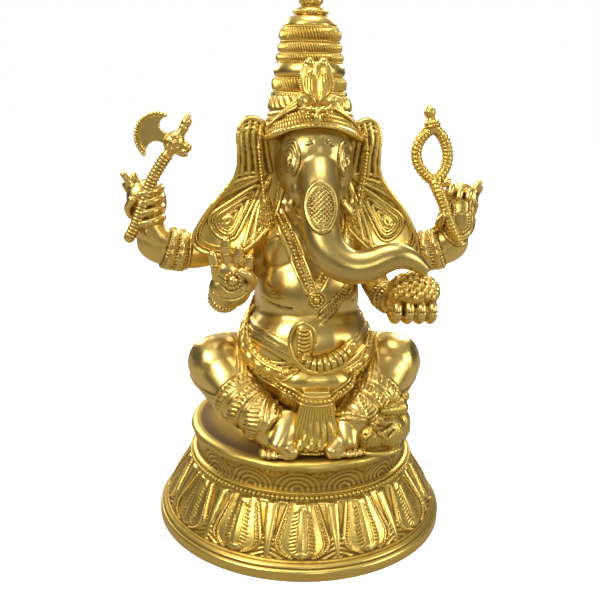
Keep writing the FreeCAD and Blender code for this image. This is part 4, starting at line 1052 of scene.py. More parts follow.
# body and limbs, with relief that runs round an axis
class Skin:  # the places and outward ways of one or more finished skins
    def __init__(self, *clays):
        self.spots = np.vstack([clay.spots for clay in clays])
        self.normals = np.vstack([clay.normals for clay in clays])


def onFront(skin, path, lift=0.0, step=1.0):  # a path of x and height above the seat, laid on from the front
    line = smoothPath([(x, 0, z + seatTop) for x, z in path], step)
    return Clay.lay(skin, line) - (0, lift, 0)


def around(skin, marks, lift=0.0):
    # outermost places at compass turns (0 in front, 90 on the figure's left) and heights above the seat
    laid = []
    for turn, z, _ in smoothPath([(t, h, 0) for t, h in marks], 1.5):
        way = np.array((math.sin(math.radians(turn)), -math.cos(math.radians(turn)), 0))
        centre = np.array((0, -8, z + seatTop))
        away = skin.spots - centre
        ahead = away @ way
        near = (np.linalg.norm(away - ahead[:, None] * way, axis=1) < 1.4) & (ahead > 0)
        if near.any():
            laid.append(centre + way * (ahead[near].max() + lift))
    return evened(np.array(laid).reshape(-1, 3), 4)


def strand(pile, laid, radius, bead=0.0):  # a cord, or a chain of beads, along places already found
    if len(laid) < 3:
        return
    if bead:
        addBeads(pile, laid, bead)
    if radius:
        addTube(pile, [(*p, radius) for p in laid[::2]], sides=8, step=1.2)


def roundAxis(spots, axis):  # distance along an axis, turn round it and distance from it
    line = smoothPath(axis, 1.0)
    frames = np.array([np.array(f) for f in ringFrames(line)])
    before = np.concatenate([[0], np.cumsum(np.linalg.norm(np.diff(line, axis=0), axis=1))])
    near = np.zeros(len(spots), int)
    best = np.full(len(spots), 1e9)
    for i, place in enumerate(line):
        far = np.sum((spots - place) ** 2, axis=1)
        near = np.where(far < best, i, near)
        best = np.minimum(best, far)
    away = np.einsum("nji,nj->ni", frames[near][:, :3, :3], spots - line[near])
    return before[near] + away[:, 2], np.arctan2(away[:, 1], away[:, 0]), np.hypot(away[:, 0], away[:, 1])


def bands(clay, axis, rows, reach=30.0):  # rings round an axis: place, half width, height, kind, twists
    along, turn, gap = roundAxis(clay.spots, np.array(up(axis)))
    for start, half, height, kind, twists in rows:
        away = (along - start) / half
        shape = dome(away)
        if kind == "rope":
            shape = shape * (0.6 + 0.4 * np.sin(turn * twists + away * 2.4))
        elif kind == "beads":
            shape = shape * np.abs(np.cos(turn * twists / 2)) ** 0.5
        rise = np.where(gap < reach, height * shape, 0)
        clay.relief = np.maximum(clay.relief, rise) if height > 0 else np.minimum(clay.relief, rise)


# torso
torsoLook = {"voxel": 0.76, "belly": (36.0, 30.5, 28.0), "waist": (29.5, 24.0, 29.0), "foldDepth": 0.9}


def makeTorso():
    pile = Pile()
    addNode(pile, "torso")
    ball(pile, 1.5, -17, 55, torsoLook["belly"])
    ball(pile, 1.0, -15.5, 81, torsoLook["waist"])
    ball(pile, 0, -11, 112, (26, 17, 20))
    for side in (-1, 1):
        ball(pile, 0.5 + side * 13.5, -19.5, 106, (12.5, 9.5, 19), (12, 0, 0))
        ball(pile, side * 31, 3, 112, (10, 11, 11))
    ball(pile, 0, 8, 108, (29, 15, 22))
    clay = remeshed(pile, torsoLook["voxel"], 40)
    deep = torsoLook["foldDepth"]
    for side in (-1, 1):
        def drawSide(path, width, height, **more):
            draw(clay, [(0.5 + side * x, z) for x, z in path], width, height, **more)

        drawSide([(25, 90.5), (19.5, 87), (12, 85.6)], 1.1, -deep)
        drawSide([(25, 87.6), (19.5, 84.2), (12, 82.9)], 1.2, 0.6)
        drawSide([(28, 82.2), (20, 79.6), (11, 78.4)], 1.4, -0.6, kind="soft")
        drawSide([(26.5, 119), (23.5, 114.5), (19.5, 118.5), (15, 116.0)], 1.1, 0.8)
    for lift in (0, 3.4, 6.8):  # folded sash across the belly
        draw(clay, [(-39, 66.5 - lift), (-27, 65 - lift), (-15, 60.2 - lift), (-7, 56 - lift)], 1.9, 0.85)
        draw(clay, [(39, 68.5 - lift), (29, 62 - lift), (20, 56.5 - lift * 0.8)], 1.7, 0.7)
    for lift in (0, 2.6, 5.0):  # hanging swags at the girdle
        draw(clay, [(-32, 54.2 - lift), (-24, 49.4 - lift), (-15, 49.0 - lift), (-7, 53.0 - lift)], 0.9, 0.75)
    draw(clay, [(1.0, 41.5), (1.1, 38.8)], 1.3, -0.9, kind="soft")
    draw(clay, [(-12, 36.8), (-4, 38.2), (1, 36.6), (6, 38.2), (13, 36.8)], 0.8, 0.6)
    for lift in (0, 3.0, 5.8):  # bands of the thread that crosses the chest
        draw(clay, [(22.5, 92.5 - lift * 0.5), (14, 84.5 - lift), (5.6, 77.0 - lift)],
             1.25, 1.0, kind="rope", pitch=1.9)
    # back: spine, shoulder blades and the folds above the hips
    back = (0, 1, 0)
    clay.line([(0, 30, seatTop + z) for z in (124, 110, 96, 82, 70)], 3.4, -1.6, kind="soft", facing=back)
    for side in (-1, 1):
        clay.line([(side * x, 30, seatTop + z) for x, z in ((8, 122), (15, 112), (14, 102), (8, 97))],
                  2.4, 0.9,
                  kind="soft", facing=back)
        for lift in (0, 4.0):
            clay.line([(side * x, 30, seatTop + z - lift) for x, z in ((27, 84), (18, 80), (7, 79))],
                      1.2, -0.6, facing=back)
    for lift in (0, 3.4, 10.0, 17.0, 24.0):  # draped cloth over the seat of the figure
        fold = [(x, 30, seatTop + 50 - lift * (1.15 - 0.0002 * x * x) + 0.010 * x * x)
                for x in range(-30, 31, 5)]
        clay.line(fold, 1.0 if lift == 3.4 else 1.5, 0.8, kind="rope" if lift == 3.4 else "round",
                  facing=back, pitch=1.9)
    clay.press()
    settlePiece("torso", clay, None, ["torso"], brass["smooth"])
    return clay


# legs
legLook = {"voxel": 0.55, "knee": (50.0, -17.0, 39.5), "dome": (-0.60, -0.45, 0.66)}
footLook = {  # ankle, instep and toes, for each side
    -1: [(-12, -46, 20, 8.0), (-14.0, -52, 14, 8.0), (-17.5, -57.5, 8.5, 6.4), (-20.5, -61, 5.5, 4.6)],
    1: [(19, -45, 20, 8.0), (19.6, -52, 14, 7.8), (20.4, -57.5, 8.8, 6.4), (20.8, -61, 5.5, 4.6)]}


def makeLeg(name, node, side):
    pile = Pile()
    addNode(pile, node)
    kx, ky, kz = legLook["knee"]
    ball(pile, side * kx, ky, kz, 18.0)
    ball(pile, side * 40, -11, 38, (19, 17, 15))
    tube(pile, [(side * 24, -4, 33, 15), (side * 36, -9, 38, 16), (side * 49, -15, 41, 16.5)], sides=28)
    tube(pile, [(side * 50, -20, 37, 15.5), (side * 38, -36, 26, 13.8), (side * 27, -46, 19.5, 11.5),
                (side * 20, -51, 15, 9.5)], sides=28)
    foot = footLook[side]
    tube(pile, foot, sides=20)
    clay = remeshed(pile, legLook["voxel"], 14)
    # hem rings round the knee, then ridged bands down the shin
    x, y, z = (clay.spots - (0, 0, seatTop)).T
    nx, ny, nz = np.array(legLook["dome"]) / np.linalg.norm(legLook["dome"])
    out = (side * x - kx) * -nx + (y - ky) * ny + (z - kz) * nz
    far = np.sqrt((side * x - kx) ** 2 + (y - ky) ** 2 + (z - kz) ** 2)
    spin = np.arctan2((y - ky), (z - kz))
    for start, half, height, twists in ((5.4, 0.8, 0.9, 0), (3.5, 0.8, 1.0, 0), (1.6, 0.75, 0.9, 0),
                                        (-0.5, 1.1, 1.3, 64),
                                        (-2.9, 0.7, 0.8, 0)):
        shape = dome((out - start) / half)
        if twists:
            shape = shape * (0.6 + 0.4 * np.sin(spin * twists))
        clay.relief = np.maximum(clay.relief, np.where(far < 30, height * shape, 0))
    clay.relief = np.maximum(clay.relief, np.where((out < 5.4) & (far < 34), 0.45, 0))
    axis = [(side * kx, ky, kz), (side * 40, -33, 29), (side * 28, -45, 22), (foot[0][0] + side * 3, -49, 20),
            (foot[2][0], foot[2][1], foot[2][2])]
    rows = []
    for start in (24.0, 32.5, 41.0):
        rows += [(start, 2.2, 1.5, "rope", 30), (start - 2.7, 0.6, 1.2, "round", 0),
                 (start + 2.7, 0.6, 1.2, "round", 0),
                 (start + 4.6, 0.45, 0.55, "round", 0)]
    rows += [(49.0, 1.0, 1.2, "beads", 22), (51.4, 0.8, 0.9, "round", 0)]
    bands(clay, axis, rows, 19.0)
    clay.press()
    # toes and anklet
    toes = Pile()
    tip = np.array(foot[-1][:3])
    for i in range(5):
        share = (i - 2) / 2
        size = 2.7 if (i == (4 if side < 0 else 0)) else 2.15
        place = (tip[0] + share * 6.2, tip[1] - 0.4 + 1.6 * share ** 2 + (1.2 if size < 2.5 else 0), 3.0)
        ball(toes, *place, (size, size * 1.7, size), (12, 0, side * -8))
    toes.takeMesh(clay.mesh)
    done = remeshed(toes, legLook["voxel"] * 0.94, 1)
    settlePiece(name, done, None, [node], brass["smooth"])
    return done


# cloth between the feet
pleatLook = {"voxel": 0.45, "folds": 9, "grooves": 0.14, "hemBead": 0.75}


def makePleats():
    pile = Pile()
    addNode(pile, "front_pleats")
    half = pleatLook["folds"] // 2
    for i in range(-half, half + 1):
        fan, step = i / half, 1.3 * (i % 2)
        stations = [(3.5 + fan * 2.4, -50.5, 36, 1.3), (3.3 + fan * 5.2, -53.5 - step, 26, 1.6),
                    (3.0 + fan * 8.6 + step, -57.0 - step, 13, 1.8 + step * 0.4),
                    (2.6 + fan * 11.5 - step, -58.8 - step + 2.0 * fan ** 2, 3.0 + step * 1.6,
                     2.0 + step * 0.5)]
        tube(pile, stations, sides=12)
    ball(pile, 3, -33, 27, (23, 15, 15))
    ball(pile, 3, -44, 39, (21, 9.5, 10))
    ball(pile, 3.5, -50, 35, (6.5, 4, 4.5))
    for side in (-1, 1):
        ball(pile, 3.5 + side * 5.0, -50, 37.5, (4.5, 3, 2.6), (0, side * 18, 0))
        for i in range(3):
            tube(pile, [(3.5 + side * (4 + i), -51.5, 34 - i * 2, 0.9), (3.5 + side * (8.5 + i * 1.5),
                        -50.5, 27 - i * 4, 1.2),
                        (3.5 + side * (10 + i * 1.6), -50.5, 20 - i * 5, 1.2)], sides=8)
    clay = remeshed(pile, pleatLook["voxel"], 3)
    x, y, z = (clay.spots - (0, 0, seatTop)).T
    clay.relief = pleatLook["grooves"] * np.sin(np.arctan2(x - 3, 60 - z) * 150) * (z < 30)
    clay.press()
    beads = Pile()
    hem = Clay.lay(clay, smoothPath(up([(-8.5, 0, 3.0), (-3, 0, 2.6), (3, 0, 2.4), (9, 0, 2.6),
                                        (14.5, 0, 3.2)]), 0.8))
    strand(beads, hem - (0, 0.2, 0), 0, pleatLook["hemBead"])
    settlePiece("frontPleats", clay, beads, ["front_pleats"], brass["cast"])
    return clay


# girdle
girdleLook = {
    "voxel": 0.6, "bead": 1.25,
    "chain": [(-39.5, 63), (-35.5, 52.5), (-27, 41.5), (-14, 36.0), (-0.5, 32.4), (12, 33.6), (22, 39),
              (30, 48),
              (36.5, 60)],
    "hipTassels": (104, 128, 152, 176, -160, -136, -112)}


def makeGirdle(skin):
    pile = Pile()
    addNode(pile, "waist_belt")
    clay = remeshed(pile, girdleLook["voxel"], 1)
    x, y, z = clay.spots.T
    turn = np.degrees(np.arctan2(x, -(y + 8)))
    marks = np.linspace(-180, 180, 61)
    low, high = np.zeros(61), np.zeros(61)
    for i, mark in enumerate(marks):
        near = np.abs((turn - mark + 180) % 360 - 180) < 5
        low[i], high[i] = z[near].min(), z[near].max()
    share = (z - np.interp(turn, marks, low)) / (np.interp(turn, marks, high) - np.interp(turn, marks, low))
    outward = clay.normals[:, 0] * x + clay.normals[:, 1] * (y + 8) > 0
    relief = np.zeros(len(z))
    for middle, half, height, twists in ((0.10, 0.07, 1.0, 130), (0.26, 0.05, 0.6, 0), (0.50, 0.16, 1.1, 66),
                                         (0.74, 0.05, 0.6, 0), (0.90, 0.07, 1.0, 130)):
        shape = dome((share - middle) / half)
        if twists:
            shape = shape * (0.62 + 0.38 * np.sin(np.radians(turn) * twists / 2 + share * 4))
        relief = np.maximum(relief, height * shape)
    clay.spots += clay.normals * np.where(outward, relief, 0)[:, None]
    clay.settle()
    beads = Pile()
    chain = girdleLook["chain"]
    laid = onFront(skin, chain, 0.6)
    strand(beads, laid, 0, girdleLook["bead"])
    strand(beads, onFront(skin, [(p[0] * 0.965, p[1] + 2.6) for p in chain], 0.3), 0.75)
    strand(beads, onFront(skin, [(p[0] * 1.02, p[1] - 2.4) for p in chain[1:-1]], 0.3), 0.8)
    for lift in (0, 3.0):
        swag = [(-32, 49.5 - lift), (-24, 44.6 - lift), (-15, 44.4 - lift), (-6.5, 50.0 - lift * 0.6)]
        strand(beads, onFront(skin, swag, 0.4), 0, 0.8 if lift == 0 else 0.55)
    # tasselled chains over the hips and across the back
    for start in girdleLook["hipTassels"]:
        strand(beads, around(skin, [(start, 72), (start + 9, 62), (start + 15, 62), (start + 24, 72)], 0.5),
               0, 0.95)
        strand(beads, around(skin, [(start + 4, 72), (start + 12, 67), (start + 20, 72)], 0.4), 0, 0.7)
    settlePiece("girdle", clay, beads, ["waist_belt"], brass["cast"])


# serpent across the belly
serpentLook = {"voxel": 0.42, "scutes": 8, "scuteGap": 2.15, "ringGap": 3.3}


def makeSerpent():
    pile = Pile()
    ball(pile, -4.5, -46.5, 61.5, (6.2, 3.6, 11.5))
    body = [(-5, -48.5, 55, 3.0), (-1.5, -50.0, 51.6, 3.6), (4, -51.2, 51.0, 4.4), (10, -51.2, 52.6, 4.6),
            (15.5, -49.8, 55.2, 4.2), (20, -47.6, 58.6, 3.4)]
    tube(pile, body, sides=20)
    ball(pile, 21.5, -46.6, 60.8, (3.4, 3, 3.4))
    clay = remeshed(pile, serpentLook["voxel"], 4)
    rings = [(3 + serpentLook["ringGap"] * i, 0.55, -0.8, "round", 0) for i in range(8)]
    bands(clay, [p[:3] for p in body], rings, 7.5)
    for i in range(serpentLook["scutes"]):  # scutes up the inside of the hood
        z = 54.5 + i * serpentLook["scuteGap"]
        draw(clay, [(-7.4, z + 0.8), (-4.6, z), (-1.9, z + 0.8)], 0.75, 1.0, step=0.4)
    clay.press()
    beads = Pile()
    edge = [(1.6, -46.5, 62, 1.2), (1.2, -47.2, 68.5, 1.3), (-4, -46.6, 73.2, 1.4), (-9.6, -45.0, 70, 1.5),
            (-11.6, -45.2, 62, 1.6), (-9.6, -48.0, 54, 1.7), (-3.5, -50.6, 48.4, 1.8), (5, -51.4, 46.6, 1.7),
            (14, -50.2, 48.4, 1.6), (22, -46.6, 52.4, 1.6), (30, -40.6, 58.4, 1.5)]
    tube(beads, edge, sides=14, step=1.0)
    settlePiece("bellySerpent", clay, beads, ["belly_serpent"], brass["cast"])


# necklace
necklaceStrings = [  # x and height of each string, cord radius, bead radius
    ([(-22.8, 137), (-21.9, 131), (-17.7, 122), (-12.4, 109), (-6.9, 96), (-1.4, 86)], 1.3, 0),
    ([(-20.4, 137), (-18.4, 130), (-13.9, 120), (-9.2, 109), (-4.2, 96), (0.6, 87)], 0, 1.15),
    ([(-17.6, 136), (-14.4, 129), (-10.4, 119), (-6.0, 108), (-1.6, 97), (1.8, 88.5)], 0, 0.95),
    ([(-13.4, 128), (-8.6, 117), (-3.4, 105), (0.6, 95), (2.6, 89)], 1.0, 0),
    ([(22.6, 137), (21.6, 128), (17.8, 115), (13.9, 103), (8.5, 93), (4.4, 87)], 1.2, 0),
    ([(20.4, 136), (18.6, 126), (14.6, 114), (10.6, 102), (6.4, 93), (3.2, 89)], 0, 1.1),
    ([(17.6, 134), (15.4, 124), (11.4, 112), (8.0, 102), (4.6, 95)], 0, 0.9)]


def makeNecklace(skin):
    beads = Pile()
    for path, cord, bead in necklaceStrings:
        strand(beads, onFront(skin, path, 0.5), cord, bead)
    strand(beads, around(skin, [(106, 124), (140, 117), (180, 114), (220, 117), (254, 124)], 0.6), 0, 1.15)
    strand(beads, around(skin, [(106, 127), (140, 121), (180, 118.4), (220, 121), (254, 127)], 0.5), 1.0)
    rose = onFront(skin, [(2.8, 84.0), (2.9, 83.0)], 0.5)
    if len(rose):
        cx, cy, cz = rose[0]
        addBall(beads, (cx, cy - 0.6, cz), (2.0, 1.6, 2.0), fine=16)
        ring = [(cx + 3.1 * math.cos(t), cy - 0.5, cz + 3.1 * math.sin(t)) for t in turns(14)]
        addBeads(beads, ring, 0.95, closed=True)
        outer = [(cx + 4.9 * math.cos(t), cy, cz + 4.7 * math.sin(t)) for t in turns(18)]
        addTube(beads, [(*p, 0.6) for p in outer], sides=8, step=1.0, closed=True)
    # leaf shaped drops that hang beside the neck
    for side in (-1, 1):
        ball(beads, side * 24, -17.0, 128.5, (3.6, 2.0, 9.5))
        for row, z in enumerate((134, 131, 128, 125, 122.4)):
            wide = 1.6 + row * 0.55
            addBeads(beads, up([(side * 24 - wide, -18.0, z + 0.5), (side * 24, -19.0, z - 0.9),
                                (side * 24 + wide, -18.0, z + 0.5)]), 0.85)
        for shift in (-1.9, 1.9):
            addBeads(beads, up([(side * 24 + shift * 0.5, -17.6, 139), (side * 24 + shift, -18.6, 131),
                                (side * 24 + shift * 2, -17.6, 121)]), 0.6)
    settlePiece("necklace", None, beads, ["necklace"], brass["cast"])


# rear arms
armLook = {"voxel": 0.5, "bangles": (38.6, 44.4), "bangleRise": 2.1}


def finger(pile, places, size, tip=0.75):  # a tapering finger with its joints
    last = len(places) - 1
    tube(pile, [(*p, size * (1 - (1 - tip) * i / last)) for i, p in enumerate(places)], sides=14, step=0.8)
    ball(pile, *places[-1], size * tip * 1.02, fine=12)


def makeBackArm(name, node, side):
    pile = Pile()
    addNode(pile, node)
    upper = [(side * 34, 8, 106, 9.4), (side * 48, 7, 105, 9.0), (side * 62, 4, 103.5, 8.4),
             (side * 76, 1, 106, 8.2)]
    fore = [(side * 76, 1, 106, 8.2), (side * 85, -1, 110, 8.6), (side * 90, -2, 119, 8.4),
            (side * 90, -3, 128, 7.4)]
    tube(pile, upper, sides=24)
    tube(pile, fore, sides=24)
    if side < 0:
        ball(pile, -92, -3, 133, (9.5, 6.2, 10.5), (0, -12, 0))
        for i, z in enumerate((122.5, 128.2, 133.8, 139.0)):
            finger(pile, [(-82.5, -4, z + 1.0), (-82.0, -9.5, z + 0.8), (-86.5, -14.2, z - 0.4),
                          (-92.5, -14.6, z - 1.6)],
                   3.0 - 0.18 * i)
        finger(pile, [(-96, -2, 138), (-99.8, -2.4, 143), (-102.4, -2.6, 146.6)], 2.7)
        finger(pile, [(-92, -4, 139), (-95.4, -3.6, 143.6), (-96.6, -3, 146.6)], 2.4)
        finger(pile, [(-98, -6, 124), (-99.5, -10, 129), (-97, -13.4, 134)], 3.0)
    else:
        ball(pile, 88, -3, 122, (11.5, 6.6, 17.5), (0, 8, 0))
        ball(pile, 94, -2, 134, (6.5, 5.2, 8), (0, 20, 0))
        for i, (x, z) in enumerate(((82.4, 142.4), (87.6, 139.8), (93.0, 139.6))):
            finger(pile, [(x - 2, -3, z - 10), (x - 0.4, -5.5, z - 3), (x, -8.2, z), (x - 1, -9.6, z - 3.6)],
                   2.7)
        finger(pile, [(95, -2, 134), (98, -2.4, 139.6), (100.2, -2.8, 144.0)], 2.7)
        finger(pile, [(78, -5, 118), (76.5, -10, 122), (78.5, -13.0, 126.5)], 3.1)
    clay = remeshed(pile, armLook["voxel"], 6)
    axis = [p[:3] for p in upper] + [p[:3] for p in fore[1:]]
    rows = []
    for start in armLook["bangles"]:  # two heavy bangles with beaded edges
        rows += [(start, 2.5, armLook["bangleRise"], "round", 0), (start - 2.2, 0.8, 2.0, "beads", 40),
                 (start + 2.2, 0.8, 2.0, "beads", 40)]
    rows += [(34.6, 0.7, 0.9, "round", 0), (10.0, 0.8, 0.7, "round", 0), (12.6, 1.2, 1.1, "beads", 34),
             (15.2, 0.8, 0.7, "round", 0)]
    bands(clay, axis, rows, 15.0)
    clay.press()
    if side > 0:  # nested ribs of the sleeve that cups the hand
        for i, wide in enumerate((10.8, 8.4, 6.0, 3.6)):
            path = [(88 - wide, 131 + i), (88.4 - wide, 120), (89.6 - wide * 0.7, 112.5 + i * 1.6),
                    (90.4, 108.8 + i * 2.4),
                    (91.4 + wide * 0.7, 113.5 + i * 1.6), (91 + wide * 0.94, 122), (91.4 + wide * 0.86, 133)]
            draw(clay, path, 1.0, 1.1, kind="rope" if i % 2 else "round", pitch=1.7, step=0.5)
            clay.line([(x, 30, z + seatTop) for x, z in path], 1.0, 0.9, facing=(0, 1, 0), step=0.5)
    else:
        for wide in (0, 3.2, 6.2):
            draw(clay, [(-98 + wide, 128), (-99.5 + wide, 121), (-95 + wide, 113.5)], 0.8, 0.55, step=0.5)
        for z in (124, 129.6, 135.0):
            draw(clay, [(-80, z + 1.6), (-84, z + 1.2), (-88, z)], 0.6, -0.5, step=0.4)
    for z in (103, 106, 109):
        draw(clay, [(side * 33, z + 2), (side * 38, z), (side * 43, z + 1)], 0.7, 0.5)
    clay.press()
    settlePiece(name, clay, None, [node], brass["smooth"])


# front arms
upperBangle = [(9, 1.0, 0.9, "round", 0), (12, 1.6, 1.4, "beads", 26), (15, 1.0, 0.9, "round", 0)]
flower = {"middle": (-42.6, -53.2, 98.4), "heart": 2.7, "reach": 4.0, "petal": 0.95}


def makeRightFrontArm():
    pile = Pile()
    upper = [(-32, -3, 104, 8.6), (-39, -9, 98, 8.4), (-45, -18, 89, 8.2), (-48, -30, 84, 7.8),
             (-46, -40, 86, 7.4)]
    tube(pile, upper, sides=24)
    ball(pile, -44, -45, 92, (11.5, 6.8, 10.5))
    ball(pile, -43.6, -46.5, 101, (9.6, 5.2, 8.5))
    for x, z, bend, size in ((-52.0, 113.0, -1.0, 3.1), (-46.2, 120.5, 0.0, 3.5), (-40.0, 116.4, 0.8, 3.4),
                             (-35.0, 111.4, 1.2, 3.1)):
        finger(pile, [(x + 1.2, -46.5, z - 14), (x, -49.5, z - 7), (x + bend, -50.2, z - 1.6)], size, 0.72)
    finger(pile, [(-34.6, -46, 92), (-32.6, -50, 97.5), (-34.8, -53.6, 101.6), (-38.6, -54.2, 103.4)], 3.1)
    clay = remeshed(pile, armLook["voxel"], 4)
    axis = [p[:3] for p in upper] + [(-44.4, -46, 92)]
    bands(clay, axis, [(42, 1.3, 1.3, "rope", 26), (45.2, 0.9, 1.1, "round", 0),
                       (48.2, 1.3, 1.2, "beads", 24)]
          + upperBangle, 14)
    for shift, height in ((0, 0.9), (2.6, 0.75), (5.0, 0.9)):  # curved lines under the palm
        draw(clay, [(-54.5 + shift * 0.6, 92 - shift * 0.4), (-49, 86.4 + shift * 0.3),
                    (-42, 85.2 + shift * 0.4), (-35, 91 - shift * 0.2)],
             0.8, height, step=0.5)
    draw(clay, [(-50, 100), (-45, 97), (-40, 99.5)], 0.7, -0.6, step=0.4)
    draw(clay, [(-49, 96), (-44, 92.6), (-38, 95)], 0.7, -0.6, step=0.4)
    for x, z in ((-46.4, 112.4), (-40.3, 108.6), (-51.2, 106.4)):
        draw(clay, [(x - 2.4, z), (x, z - 0.7), (x + 2.4, z)], 0.6, 0.75, step=0.4)
    clay.press()
    beads = Pile()
    x, y, z = flower["middle"]
    addBall(beads, (x, y, z + seatTop), (flower["heart"], 2.0, flower["heart"]), fine=16)
    reach = flower["reach"]
    ring = [(x + reach * math.cos(t), y + 0.4, z + seatTop + reach * math.sin(t)) for t in turns(16)]
    addBeads(beads, ring, flower["petal"], closed=True)
    settlePiece("rightFrontArm", clay, beads, ["right_front_arm"], brass["smooth"])


def makeLeftFrontArm():
    pile = Pile()
    upper = [(32, -3, 103, 8.4), (36, -10, 97, 8.0), (37.5, -22, 90, 7.8), (40, -34, 86, 7.6),
             (44, -44, 84.5, 7.4)]
    tube(pile, upper, sides=24)
    ball(pile, 51, -50, 84.5, (13, 10.5, 5.4))
    knuckles = (42.4, 48.8, 55.2, 61.2)
    for i, x in enumerate(knuckles):
        size = 3.15 - 0.12 * abs(i - 1.5)
        finger(pile, [(x - 0.6, -50, 80.4), (x, -57.4, 78.4), (x + 0.3, -61.8, 81.6), (x + 0.3, -61.6, 86.0),
                      (x + 0.2, -58.8, 88.4)],
               size, 0.8)
    finger(pile, [(63.5, -46, 84), (65.6, -50.5, 90), (64.4, -54, 95.4)], 2.9)
    clay = remeshed(pile, armLook["voxel"], 4)
    axis = [p[:3] for p in upper]
    bands(clay, axis, [(38, 1.3, 1.3, "rope", 26), (41.4, 1.0, 1.1, "round", 0),
                       (44.6, 1.4, 1.3, "beads", 24)]
          + upperBangle, 13)
    for x in knuckles:
        for z in (80.4, 84.4):
            draw(clay, [(x - 2.3, z), (x + 0.3, z - 0.6), (x + 2.8, z)], 0.55, -0.5, step=0.4)
    clay.press()
    settlePiece("leftFrontArm", clay, None, ["left_front_arm"], brass["smooth"])


# axe, noose, sweets and mouse
axeLook = {
    "blade": [(-77.2, 179.9), (-81.9, 181.2), (-86.4, 180.4), (-90.7, 177.8), (-93.6, 173.4), (-94.8, 168.2),
              (-93.6, 162.6),
              (-90.1, 157.6), (-88.2, 162.6), (-84.4, 165.6), (-79.7, 164.8), (-76.6, 162.6), (-75.4, 168.3),
              (-78.2, 170.4), (-80.8, 172.4), (-81.2, 175.4), (-79.4, 178.0)],
    "thick": 3.4, "voxel": 0.38, "rings": 25, "handle": [(-99.2, -13.5, 113.2), (-95.1, -13.5, 121.6),
                                                         (-91.0, -13.2, 132.2), (-86.9, -12.8, 143.0),
                             (-82.3, -12.4, 151.6), (-76.4, -12.0, 160.2), (-73.6, -12, 165.4)]}


def makeAxe():
    line = smoothPath([(x, 0, z + seatTop) for x, z in axeLook["blade"]], 0.7, closed=True)[:-1]
    pile = Pile()
    addPlate(pile, line, -12 - axeLook["thick"] / 2, axeLook["thick"])
    handle = axeLook["handle"]
    tube(pile, [(*p, 3.0) for p in handle], sides=20)
    ball(pile, *handle[0], (3.2, 3.2, 3.2))
    ball(pile, -73.8, -12, 165.2, (5.8, 4.6, 6.2), (0, 30, 0))
    tube(pile, [(-72, -12, 167, 3.0), (-69.4, -12, 171.5, 2.6), (-68, -12, 173.6, 3.0)], sides=16)
    ball(pile, -67.2, -12, 175.8, (2.9, 2.9, 3.7), (0, 25, 0))
    ball(pile, -66.0, -12, 179.4, 1.5)
    tube(pile, [(-73, -12, 161.6, 2.4), (-69.4, -12, 159.8, 2.6), (-67.4, -12, 160.4, 2.9)], sides=16)
    ball(pile, -67.0, -12, 162.6, (2.7, 2.7, 3.0))
    clay = remeshed(pile, axeLook["voxel"], 3)
    bands(clay, handle, [(1.6 + 2.0 * i, 0.62, 0.55, "round", 0) for i in range(axeLook["rings"])], 5.0)
    edge = [(p[0], p[1]) for p in axeLook["blade"][:8]]
    middle = np.array((-84.0, 170.0))
    for inset, kind, width, height in ((0.93, "ticks", 0.9, 0.7), (0.80, "round", 0.5, 0.4)):
        path = [middle + (np.array(p) - middle) * inset for p in edge]
        for way in (-1, 1):
            laid = [(p[0], way * 30, p[1] + seatTop) for p in path]
            clay.line(laid, width, height, kind=kind, pitch=1.7, facing=(0, way, 0), step=0.4)
    clay.press()
    beads = Pile()
    for turn in turns(7):
        place = (-73.8 + 3.4 * math.cos(turn), -15.8, 165.2 + seatTop + 3.4 * math.sin(turn))
        addBall(beads, place, 1.0, fine=10)
    addBall(beads, (-73.8, -16.4, 165.2 + seatTop), 1.5, fine=12)
    settlePiece("axe", clay, beads, ["axe"], brass["smooth"])


nooseLook = {"cord": 2.9, "voxel": 0.4, "groove": 0.45, "pitch": 2.2}


def makeNoose():
    pile = Pile()
    loop = [(69.0, -5, 173.8), (63.6, -5, 168.4), (61.4, -5, 161.5), (63.0, -5, 154.6), (67.4, -5.6, 148.8),
            (72.0, -6.4, 145.6), (76.6, -5.6, 148.8), (79.4, -5, 154.2), (79.6, -5, 161.0), (77.2, -5,
                    168.0), (73.0, -5, 173.2)]
    tube(pile, [(*p, nooseLook["cord"]) for p in loop], sides=20, closed=True)
    tail = [(71.6, -6.6, 146.0, 3.2), (74.2, -9.6, 140.2, 3.3), (77.4, -11.0, 133.4, 3.2),
            (80.4, -11.4, 125.6, 3.0),
            (84.2, -10.8, 117.4, 2.8), (88.6, -9.6, 111.4, 2.5)]
    tube(pile, tail, sides=20)
    ball(pile, *tail[-1][:3], 2.8)
    ball(pile, 70.2, -5, 175.6, (4.0, 3.6, 3.4))
    tube(pile, [(69.6, -5, 176.5, 4.3), (68.9, -5, 178.6, 3.4), (68.4, -5, 180.0, 2.7)], sides=20)
    ball(pile, 67.8, -5, 183.2, (3.3, 3.3, 3.6))
    ball(pile, 67.2, -5, 186.2, 1.2)
    ball(pile, 79.4, -7.4, 144.6, (2.4, 2.4, 3.2), (0, 30, 0))
    clay = remeshed(pile, nooseLook["voxel"], 3)
    for path, closed in ((loop, True), ([p[:3] for p in tail], False)):
        axis = np.array(up(path + path[:1] if closed else path))
        along, turn, gap = roundAxis(clay.spots, axis)
        near = gap < 4.2
        if not closed:
            near &= along > 3
        groove = nooseLook["groove"] * np.sin(math.tau * along / nooseLook["pitch"] + turn * 2)
        clay.relief = np.where(near & (clay.spots[:, 2] < seatTop + 172.5), groove, clay.relief)
    bands(clay, [(70.2, -5, 174.6), (68.9, -5, 178.6), (67.9, -5, 182)], [(1.6, 0.7, 0.8, "round", 0),
          (3.6, 0.6, 0.6, "beads", 18)], 7)
    clay.press()
    settlePiece("noose", clay, None, ["noose"], brass["cast"])


sweetsLook = {"count": 74, "voxel": 0.42, "grain": 0.12}


